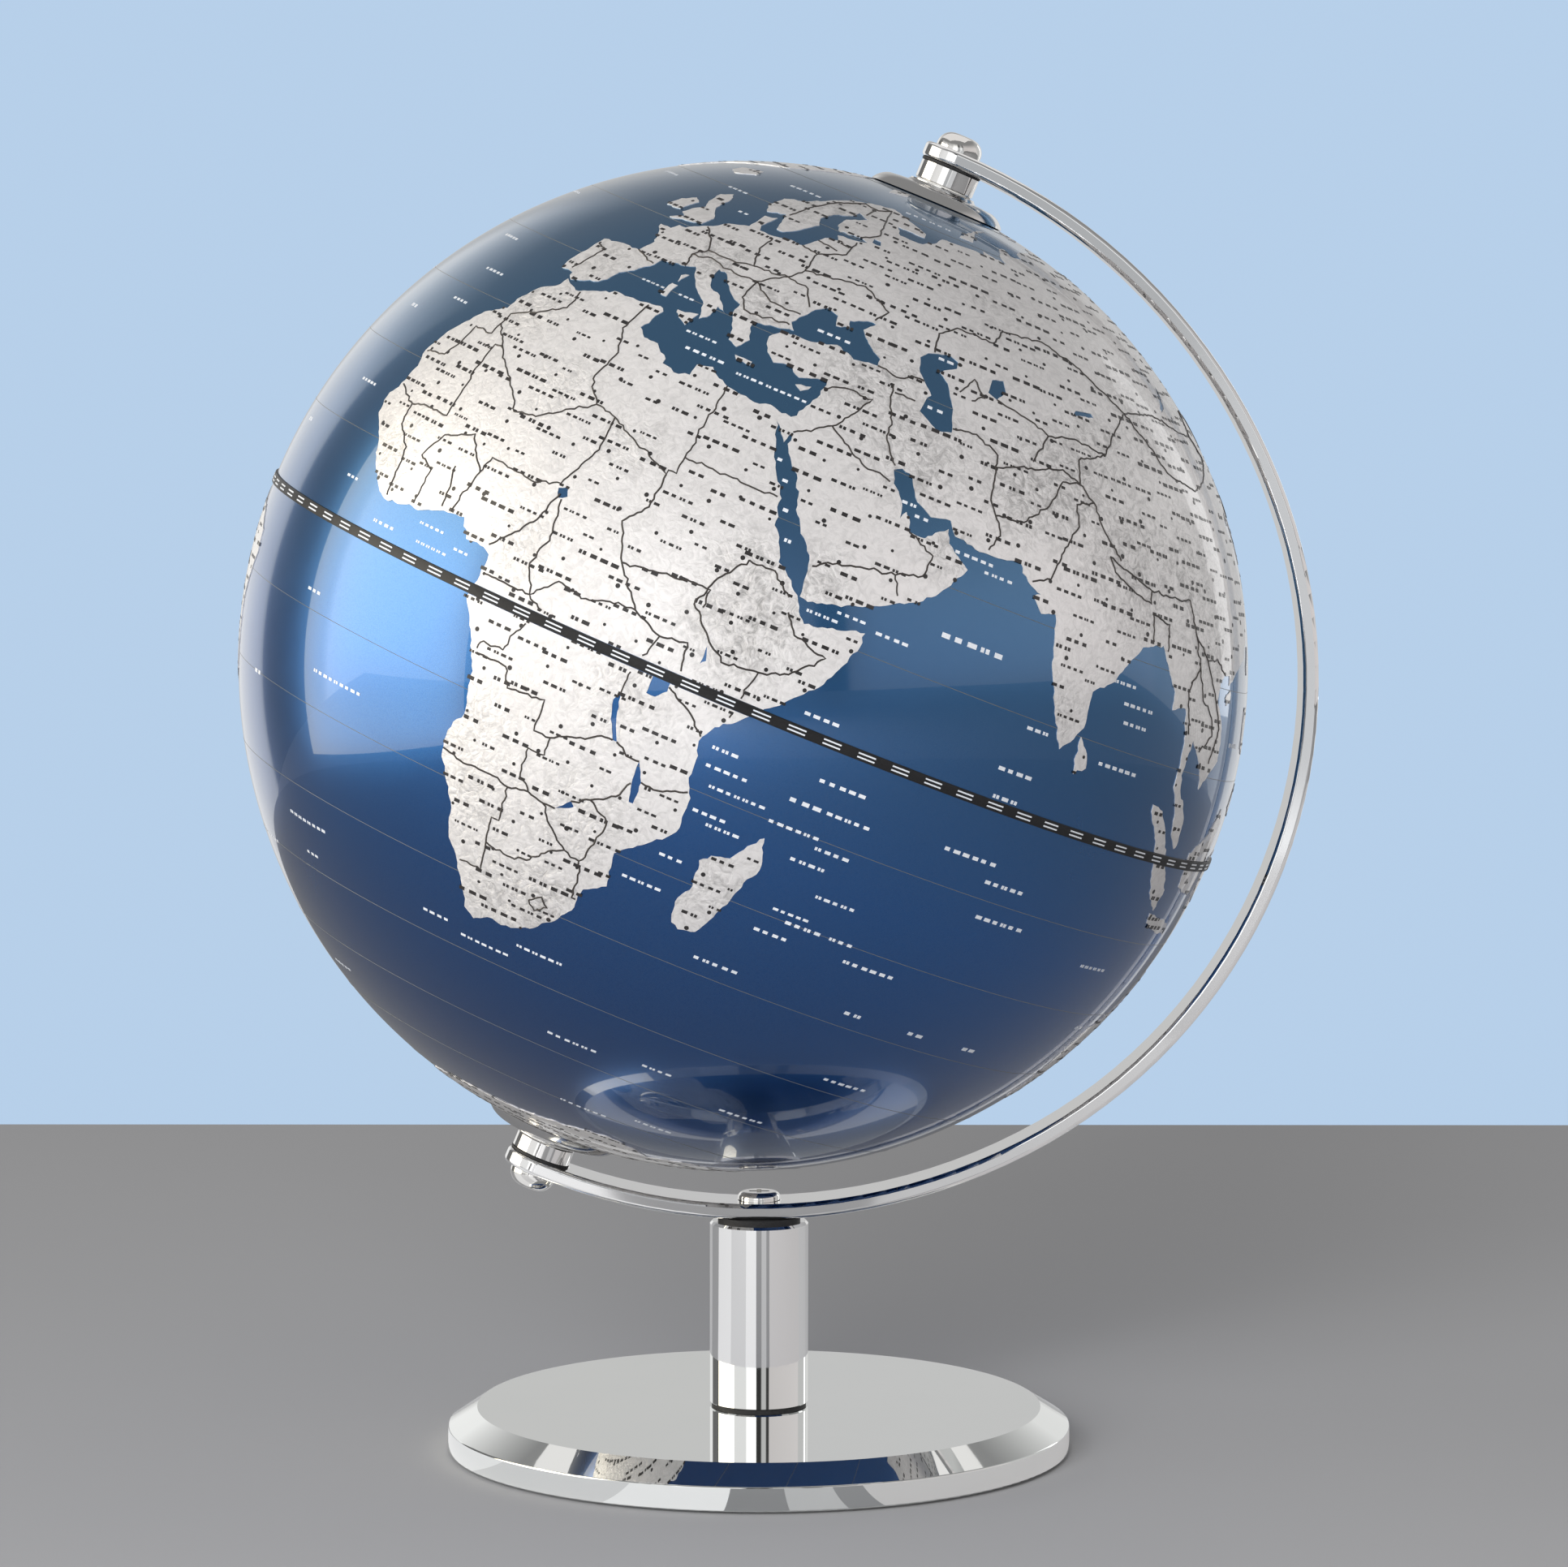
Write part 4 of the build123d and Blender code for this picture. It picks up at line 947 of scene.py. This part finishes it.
def caption_tree():
    """Points become rows of short dashes that lie on the ball along the parallels."""
    tree, given, out = new_group(
        "printed_captions", "GeometryNodeTree",
        [("Geometry", "NodeSocketGeometry", None), ("Scatter", "NodeSocketBool", False),
         ("Spacing", "NodeSocketFloat", 0.006), ("Density", "NodeSocketFloat", 60000.0),
         ("Block size", "NodeSocketFloat", 0.0012), ("Radius", "NodeSocketFloat", 0.09992),
         ("Seed", "NodeSocketInt", 5), ("Ink", "NodeSocketMaterial", None)],
        [("Geometry", "NodeSocketGeometry")],
    )
    # scattered points get random lengths, placed points bring their own
    spread = add(tree, "GeometryNodeDistributePointsOnFaces",
                 {"Mesh": given.outputs["Geometry"], "Distance Min": given.outputs["Spacing"],
                  "Density Max": given.outputs["Density"], "Seed": given.outputs["Seed"]},
                 distribute_method="POISSON")
    length = add(tree, "FunctionNodeRandomValue", {"Min": 2, "Max": 4, "Seed": given.outputs["Seed"]},
                 data_type="INT")
    length.inputs[4].default_value = 2
    length.inputs[5].default_value = 4
    bigness = add(tree, "FunctionNodeRandomValue", {"Seed": 11})
    bigness.inputs[2].default_value = 0.8
    bigness.inputs[3].default_value = 1.35
    with_length = add(tree, "GeometryNodeStoreNamedAttribute",
                      {"Geometry": spread.outputs["Points"], "Name": "blocks",
                       "Value": length.outputs[2]}, data_type="INT", domain="POINT")
    with_size = add(tree, "GeometryNodeStoreNamedAttribute",
                    {"Geometry": with_length.outputs["Geometry"], "Name": "bigness",
                     "Value": bigness.outputs[1]}, data_type="FLOAT", domain="POINT")
    placed = add(tree, "GeometryNodeMeshToPoints", {"Mesh": given.outputs["Geometry"]})
    source = add(tree, "GeometryNodeSwitch", {"Switch": given.outputs["Scatter"],
                                              "False": placed.outputs["Points"],
                                              "True": with_size.outputs["Geometry"]},
                 input_type="GEOMETRY")
    blocks = add(tree, "GeometryNodeInputNamedAttribute", {"Name": "blocks"}, data_type="INT")
    size = add(tree, "GeometryNodeInputNamedAttribute", {"Name": "bigness"}, data_type="FLOAT")
    copies = add(tree, "GeometryNodeDuplicateElements",
                 {"Geometry": source.outputs["Output"], "Amount": blocks.outputs["Attribute"]},
                 domain="POINT")
    # each copy steps east from the caption's middle
    last = add(tree, "ShaderNodeMath", {0: blocks.outputs["Attribute"], 1: 1.0}, operation="SUBTRACT")
    half = add(tree, "ShaderNodeMath", {0: last.outputs[0], 1: 0.5}, operation="MULTIPLY")
    step = add(tree, "ShaderNodeMath", {0: copies.outputs["Duplicate Index"], 1: half.outputs[0]},
               operation="SUBTRACT")
    pitch = add(tree, "ShaderNodeMath", {0: size.outputs["Attribute"],
                                         1: given.outputs["Block size"]}, operation="MULTIPLY")
    travel = add(tree, "ShaderNodeMath", {0: step.outputs[0], 1: pitch.outputs[0]}, operation="MULTIPLY")
    _, east = upright(tree)
    unit = add(tree, "ShaderNodeVectorMath", {0: east}, operation="NORMALIZE")
    offset = add(tree, "ShaderNodeVectorMath", {0: unit.outputs[0], "Scale": travel.outputs[0]},
                 operation="SCALE")
    moved = add(tree, "GeometryNodeSetPosition", {"Geometry": copies.outputs["Geometry"],
                                                  "Offset": offset.outputs[0]})
    reach = add(tree, "ShaderNodeVectorMath", {0: outward(tree), "Scale": given.outputs["Radius"]},
                operation="SCALE")
    back = add(tree, "ShaderNodeVectorMath", {0: reach.outputs[0], 1: tuple(ball_centre * MM)},
               operation="ADD")
    seated = add(tree, "GeometryNodeSetPosition", {"Geometry": moved.outputs["Geometry"],
                                                   "Position": back.outputs[0]})
    # a dash past the shore is left out
    shore = add(tree, "GeometryNodeProximity", {0: given.outputs["Geometry"]}, target_element="FACES")
    past = add(tree, "ShaderNodeMath", {0: shore.outputs["Distance"], 1: 0.0002}, operation="GREATER_THAN")
    cut = add(tree, "ShaderNodeMath", {0: past.outputs[0], 1: given.outputs["Scatter"]},
              operation="MULTIPLY")
    ashore = add(tree, "GeometryNodeDeleteGeometry", {"Geometry": seated.outputs["Geometry"],
                                                      "Selection": cut.outputs[0]}, domain="POINT")
    # the dash shapes
    kinds = add(tree, "GeometryNodeGeometryToInstance")
    for shape in reversed(caption_dashes):
        joined = add(tree, "GeometryNodeJoinGeometry")
        for x, width in shape:
            bar = add(tree, "GeometryNodeMeshCube", {"Size": (width, dash_height, 0.03)})
            put = add(tree, "GeometryNodeTransform", {"Geometry": bar.outputs["Mesh"],
                                                      "Translation": (x, 0, 0)})
            tree.links.new(put.outputs["Geometry"], joined.inputs["Geometry"])
        tree.links.new(joined.outputs["Geometry"], kinds.inputs["Geometry"])
    pick = add(tree, "FunctionNodeRandomValue", {"Seed": 23}, data_type="INT")
    pick.inputs[4].default_value = 0
    pick.inputs[5].default_value = len(caption_dashes) - 1
    rotation, _ = upright(tree)
    grown = add(tree, "ShaderNodeMath", {0: pitch.outputs[0], 1: 0.92}, operation="MULTIPLY")
    printed = add(tree, "GeometryNodeInstanceOnPoints",
                  {"Points": ashore.outputs["Geometry"], "Instance": kinds.outputs["Instances"],
                   "Pick Instance": True, "Instance Index": pick.outputs[2], "Rotation": rotation,
                   "Scale": grown.outputs[0]})
    real = add(tree, "GeometryNodeRealizeInstances", {"Geometry": printed.outputs["Instances"]})
    inked = add(tree, "GeometryNodeSetMaterial", {"Geometry": real.outputs["Geometry"],
                                                  "Material": given.outputs["Ink"]})
    tree.links.new(inked.outputs["Geometry"], out.inputs["Geometry"])
    return tree


def town_tree():
    """Scattered round dots on the land."""
    tree, given, out = new_group(
        "printed_towns", "GeometryNodeTree",
        [("Geometry", "NodeSocketGeometry", None), ("Spacing", "NodeSocketFloat", 0.006),
         ("Density", "NodeSocketFloat", 40000.0), ("Dot radius", "NodeSocketFloat", 0.0004),
         ("Seed", "NodeSocketInt", 3), ("Ink", "NodeSocketMaterial", None)],
        [("Geometry", "NodeSocketGeometry")],
    )
    spread = add(tree, "GeometryNodeDistributePointsOnFaces",
                 {"Mesh": given.outputs["Geometry"], "Distance Min": given.outputs["Spacing"],
                  "Density Max": given.outputs["Density"], "Seed": given.outputs["Seed"]},
                 distribute_method="POISSON")
    dot = add(tree, "GeometryNodeMeshCylinder", {"Vertices": 9, "Radius": given.outputs["Dot radius"],
                                                 "Depth": 0.0001})
    rotation, _ = upright(tree)
    bigness = add(tree, "FunctionNodeRandomValue", {"Seed": 9})
    bigness.inputs[2].default_value = 0.7
    bigness.inputs[3].default_value = 1.15
    printed = add(tree, "GeometryNodeInstanceOnPoints",
                  {"Points": spread.outputs["Points"], "Instance": dot.outputs["Mesh"],
                   "Rotation": rotation, "Scale": bigness.outputs[1]})
    real = add(tree, "GeometryNodeRealizeInstances", {"Geometry": printed.outputs["Instances"]})
    inked = add(tree, "GeometryNodeSetMaterial", {"Geometry": real.outputs["Geometry"],
                                                  "Material": given.outputs["Ink"]})
    tree.links.new(inked.outputs["Geometry"], out.inputs["Geometry"])
    return tree


def scale_tree():
    """Evenly spaced marks round the equator band."""
    tree, given, out = new_group(
        "band_scale", "GeometryNodeTree",
        [("Geometry", "NodeSocketGeometry", None), ("Marks", "NodeSocketInt", 144),
         ("Mark length", "NodeSocketFloat", 0.004), ("Mark width", "NodeSocketFloat", 0.0004),
         ("Height", "NodeSocketFloat", 0.0), ("Radius", "NodeSocketFloat", 0.1002),
         ("Ink", "NodeSocketMaterial", None)],
        [("Geometry", "NodeSocketGeometry")],
    )
    ring = add(tree, "GeometryNodeMeshCircle", {"Vertices": given.outputs["Marks"],
                                                "Radius": given.outputs["Radius"]})
    size = add(tree, "ShaderNodeCombineXYZ", {"X": 0.00008, "Y": given.outputs["Mark length"],
                                              "Z": given.outputs["Mark width"]})
    block = add(tree, "GeometryNodeMeshCube", {"Size": size.outputs[0]})
    place = add(tree, "GeometryNodeInputPosition")
    face_out = add(tree, "FunctionNodeAlignRotationToVector", {"Vector": place.outputs[0]}, axis="X",
                   pivot_axis="Z")
    printed = add(tree, "GeometryNodeInstanceOnPoints",
                  {"Points": ring.outputs["Mesh"], "Instance": block.outputs["Mesh"],
                   "Rotation": face_out.outputs[0]})
    lift = add(tree, "ShaderNodeCombineXYZ", {"Z": given.outputs["Height"]})
    raised = add(tree, "GeometryNodeTransform", {"Geometry": printed.outputs["Instances"],
                                                 "Translation": lift.outputs[0]})
    leaned = add(tree, "GeometryNodeTransform", {"Geometry": raised.outputs["Geometry"],
                                                 "Translation": tuple(ball_centre * MM),
                                                 "Rotation": (0, axis_tilt, 0)})
    real = add(tree, "GeometryNodeRealizeInstances", {"Geometry": leaned.outputs["Geometry"]})
    inked = add(tree, "GeometryNodeSetMaterial", {"Geometry": real.outputs["Geometry"],
                                                  "Material": given.outputs["Ink"]})
    tree.links.new(inked.outputs["Geometry"], out.inputs["Geometry"])
    return tree


lines = line_tree()
captions = caption_tree()
towns = town_tree()
band_marks = scale_tree()


def paths_mesh(name, paths, r, closed=False):
    """Edges over the ball, from lists of (longitude, latitude)."""
    points = []
    edges = []
    for path in paths:
        start = len(points)
        points += [globe_point(p[0], p[1], r) for p in path]
        edges += [(start + i, start + i + 1) for i in range(len(path) - 1)]
        if closed:
            edges.append((start + len(path) - 1, start))
    mesh = bpy.data.meshes.new(name)
    mesh.from_pydata(points, edges, [])
    return mesh


def split_at_seam(paths):
    """The parts of each path north and south of the equator band."""
    parts = {1: [], -1: []}
    for path in paths:
        for sign in (1, -1):
            run = []
            for p in path:
                if sign * p[1] > 0.75:
                    run.append(p)
                elif len(run) > 1:
                    parts[sign].append(run)
                    run = []
                else:
                    run = []
            if len(run) > 1:
                parts[sign].append(run)
    return parts


border_parts = split_at_seam([rough_edge(b, closed=False, step=0.5, wander=0.35) for b in borders])
parallels = {s: [[(lon, s * lat) for lon in range(-180, 180, 2)] for lat in range(10, 81, 10)]
             for s in (1, -1)}


def caption_points(rows):
    mesh = bpy.data.meshes.new("caption_points")
    mesh.from_pydata([globe_point(r[0], r[1], sea_r) for r in rows], [], [])
    mesh.attributes.new("blocks", "INT", "POINT").data.foreach_set("value", [r[2] for r in rows])
    mesh.attributes.new("bigness", "FLOAT", "POINT").data.foreach_set("value", [r[3] for r in rows])
    return mesh


printed = []
for side, sign, land in (("north", 1, land_north), ("south", -1, land_south)):
    printed.append((side, run_tree(side + "_border_lines", lines,
                                   paths_mesh("borders", border_parts[sign], land_r - 0.02),
                                   {"Half width": 0.00019, "Ink": ink_brown})))
    printed.append((side, run_tree(side + "_parallels", lines,
                                   paths_mesh("parallels", parallels[sign], sea_r - 0.02, True),
                                   {"Half width": 0.00007, "Ink": ink_slate})))
    printed.append((side, run_tree(side + "_town_dots", towns, land.data.copy(),
                                   {"Dot radius": 0.00042, "Spacing": 0.0052, "Density": 100000.0, "Seed": 4,
                                    "Ink": ink_black})))
    printed.append((side, run_tree(side + "_land_captions", captions, land.data.copy(),
                                   {"Scatter": True, "Spacing": 0.0046, "Seed": 5,
                                    "Density": 160000.0, "Block size": 0.0017, "Radius": (land_r + 0.02) * MM,
                                    "Ink": ink_black})))
    rows = [r for r in sea_captions if r[1] * sign > 0]
    printed.append((side, run_tree(side + "_sea_captions", captions, caption_points(rows),
                                   {"Block size": 0.00118, "Radius": (sea_r + 0.015) * MM,
                                    "Ink": ink_white})))
for side, piece in printed:
    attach(piece, "globe")

scale_rows = [
    ("scale_upper_dashes", 90, 0.0035, 0.00028, 0.00037),
    ("scale_lower_dashes", 90, 0.0035, 0.00028, -0.00037),
]
for name, count, length, width, height in scale_rows:
    empty = bpy.data.meshes.new("empty")
    marks = run_tree(name, band_marks, empty, {"Marks": count, "Mark length": length,
                                               "Mark width": width, "Height": height,
                                               "Radius": (band_r + 0.01) * MM, "Ink": ink_white})
    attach(marks, "globe")

# ---------------------------------------------------------------- studio
def collection(name, members):
    """A collection that only gathers pieces for a lamp or a card."""
    made = bpy.data.collections.new(name)
    for member in members:
        made.objects.link(member)
    return made


floor_mesh = bpy.data.meshes.new("floor")
floor_mesh.from_pydata([(-8, -8, 0), (8, -8, 0), (8, 0.425, 0), (-8, 0.425, 0)], [], [(0, 1, 2, 3)])
floor_paint, floor_tree, floor_shader, floor_place = material(
    "floor_paint", Roughness=0.7, Specular_IOR_Level=0.0)
cloud = add(floor_tree, "ShaderNodeTexNoise", {"Vector": floor_place, "Scale": 3.0, "Detail": 4.0})
floor_tint = add(floor_tree, "ShaderNodeMix", {"Factor": cloud.outputs["Fac"], 6: (0.54, 0.54, 0.55, 1),
                                               7: (0.58, 0.58, 0.59, 1)}, data_type="RGBA")
floor_tree.links.new(floor_tint.outputs[2], floor_shader.inputs["Base Color"])
floor_mesh.materials.append(floor_paint)
floor = bpy.data.objects.new("floor", floor_mesh)
bpy.context.scene.collection.objects.link(floor)

# the room round the stand: bearing in degrees from the front, turning to the right, and brightness
room = [
    (-180, 0.44), (-171, 0.44), (-167, 0.7), (-141, 0.7), (-139, 0.12), (-109, 0.12), (-107, 0.95),
    (-68, 0.95),
    (-66, 0.66), (-31, 0.66), (-29, 1.0), (-7, 1.0), (-6, 0.03), (5, 0.03), (6, 0.42), (16, 0.42),
    (17, 0.04), (23, 0.04), (24, 0.5), (104, 0.55), (106, 0.45), (134, 0.45), (136, 0.4), (150, 0.6),
    (168, 0.6), (172, 0.44),
]


def reflector(name, start, end, inner, outer, height, glow, tint, receivers):
    """A flat card on the floor that only polished metal sees."""
    steps = max(2, math.ceil((end - start) / 3))
    points = []
    for i in range(steps + 1):
        a = math.radians(start + (end - start) * i / steps)
        for r in (inner, outer):
            points.append((r * math.sin(a), -r * math.cos(a), height))
    faces = [(2 * i, 2 * i + 1, 2 * i + 3, 2 * i + 2) for i in range(steps)]
    mesh = bpy.data.meshes.new(name)
    mesh.from_pydata(points, [], faces)
    card, _, shader, _ = material(name, Roughness=1.0, Specular_IOR_Level=0.0,
                                  Base_Color=(0.42, 0.42, 0.43, 1), Emission_Color=(*tint, 1),
                                  Emission_Strength=glow)
    mesh.materials.append(card)
    holder = bpy.data.objects.new(name, mesh)
    bpy.context.scene.collection.objects.link(holder)
    holder.visible_camera = False
    holder.visible_diffuse = False
    holder.visible_shadow = False
    holder.visible_transmission = False
    holder.light_linking.receiver_collection = receivers


polished_names = ["base_plate", "column", "arm", "arm_screw", "north_pivot_screw", "south_pivot_screw",
                  "north_sleeve", "south_sleeve"]
metal = collection("polished_metal", [nodes[n] for n in polished_names])
sectors = [
    (-180, -140, 0.27), (-140, -108, 0.1), (-108, -67, 0.57), (-67, -30, 0.4), (-30, -6.5, 0.6),
    (-6.5, 5.5, 0.02), (5.5, 16.5, 0.25), (16.5, 23.5, 0.03), (23.5, 105, 0.32), (105, 135, 0.3),
    (135, 180, 0.27),
]
for i, (start, end, glow) in enumerate(sectors):
    warm = (1.0, 0.955, 0.94) if start == 23.5 else (1, 1, 1)
    reflector("card_%02d" % i, start, end, 0.063, 0.62, 0.0004, glow, warm, metal)

world = bpy.data.worlds.new("studio")
bpy.context.scene.world = world
world.use_nodes = True
tree = world.node_tree
lit = tree.nodes["Background"]
lit.inputs["Strength"].default_value = 1.3
way = add(tree, "ShaderNodeTexCoord").outputs["Generated"]
parts = add(tree, "ShaderNodeSeparateXYZ", {0: way})
ahead = add(tree, "ShaderNodeMath", {0: parts.outputs["Y"], 1: -1.0}, operation="MULTIPLY")
bearing = add(tree, "ShaderNodeMath", {0: parts.outputs["X"], 1: ahead.outputs[0]}, operation="ARCTAN2")
share = add(tree, "ShaderNodeMapRange", {"Value": bearing.outputs[0], "From Min": -math.pi,
                                         "From Max": math.pi})
ramp = add(tree, "ShaderNodeValToRGB", {"Fac": share.outputs["Result"]})
stops = ramp.color_ramp.elements
for i, (angle, glow) in enumerate(room):
    stop = stops[0] if i == 0 else stops.new((angle + 180) / 360)
    stop.position = (angle + 180) / 360
    warm = 0.955 if 24 <= angle <= 104 else 1.0
    stop.color = (glow, glow * warm, glow * warm * 0.99, 1)
stops[len(stops) - 1].color = (0.44, 0.44, 0.44, 1)
upward = add(tree, "ShaderNodeMapRange", {"Value": parts.outputs["Z"], "From Min": 0.3, "From Max": 0.65})
tall = add(tree, "ShaderNodeMix", {"Factor": upward.outputs["Result"], 6: ramp.outputs["Color"],
                                   7: (0.2, 0.2, 0.2, 1)}, data_type="RGBA")
ray = add(tree, "ShaderNodeLightPath").outputs["Is Camera Ray"]
seen = add(tree, "ShaderNodeMix", {"Factor": ray, 6: tall.outputs[2], 7: (0.365, 0.483, 0.63, 1)},
           data_type="RGBA")
tree.links.new(seen.outputs[2], lit.inputs["Color"])


def softbox(name, place, aim, width, height, power,
            tint=(1, 1, 1), mirrored=True, receivers=None):
    """A rectangular lamp at a place, turned to its aim; receivers limits what it lights."""
    lamp = bpy.data.lights.new(name, "AREA")
    lamp.shape = "RECTANGLE"
    lamp.size = width
    lamp.size_y = height
    lamp.energy = power
    lamp.color = tint
    holder = bpy.data.objects.new(name, lamp)
    holder.location = place
    holder.rotation_euler = (Vector(aim) - Vector(place)).to_track_quat("-Z", "Y").to_euler()
    holder.visible_camera = False
    holder.visible_glossy = mirrored
    if receivers:
        holder.light_linking.receiver_collection = receivers
    bpy.context.scene.collection.objects.link(holder)


staged = {"floor"} | {"card_%02d" % i for i in range(len(sectors))}
whole = collection("globe_and_stand", [o for o in bpy.data.objects
                                       if o.type == "MESH" and o.name not in staged])
slim = collection("arm_and_fittings", [nodes[n] for n in polished_names[2:]])
softbox("key_left", (-0.62, -0.07, 0.3), (0, -0.07, 0.25), 0.58, 0.58, 2.1, (1.0, 0.9, 0.7), receivers=whole)
softbox("front_fill", (-0.38, -1.2, 0.45), (0, 0, 0.16), 0.7, 0.7, 13.5, mirrored=False)
softbox("strip_right", (0.55, 0.55, 0.3), (0, 0, 0.15), 0.12, 0.5, 0.2)
softbox("arm_light", (0.2, -1.1, 0.28), (0.1, 0, 0.2), 0.6, 0.6, 0.5, (0.94, 0.97, 1.0), receivers=slim)
softbox("top_light", (0, 0.25, 1.2), (0, 0, 0.15), 1.4, 1.4, 3.6, (1.0, 0.97, 0.95), receivers=metal)

# ---------------------------------------------------------------- camera
camera_data = bpy.data.cameras.new("camera")
camera_data.sensor_fit = "HORIZONTAL"
camera_data.sensor_width = 36.0
camera_data.lens = 133.39
camera_data.clip_start = 0.01
camera = bpy.data.objects.new("camera", camera_data)
bpy.context.scene.collection.objects.link(camera)
yaw, pitch, roll = 0.0070, 0.0944, -0.0016
look = Vector((math.sin(yaw) * math.cos(pitch), math.cos(yaw) * math.cos(pitch), -math.sin(pitch)))
level = Vector((math.cos(yaw), -math.sin(yaw), 0.0))
down = look.cross(level)
image_x = level * math.cos(roll) + down * math.sin(roll)
image_y = level * math.sin(roll) - down * math.cos(roll)
turn = Matrix((image_x, image_y, -look)).transposed()
camera.matrix_world = Matrix.Translation(Vector((-3.2, -1150.0, 243.0)) * MM) @ turn.to_4x4()
bpy.context.scene.camera = camera
bpy.context.scene.view_settings.view_transform = "Standard"
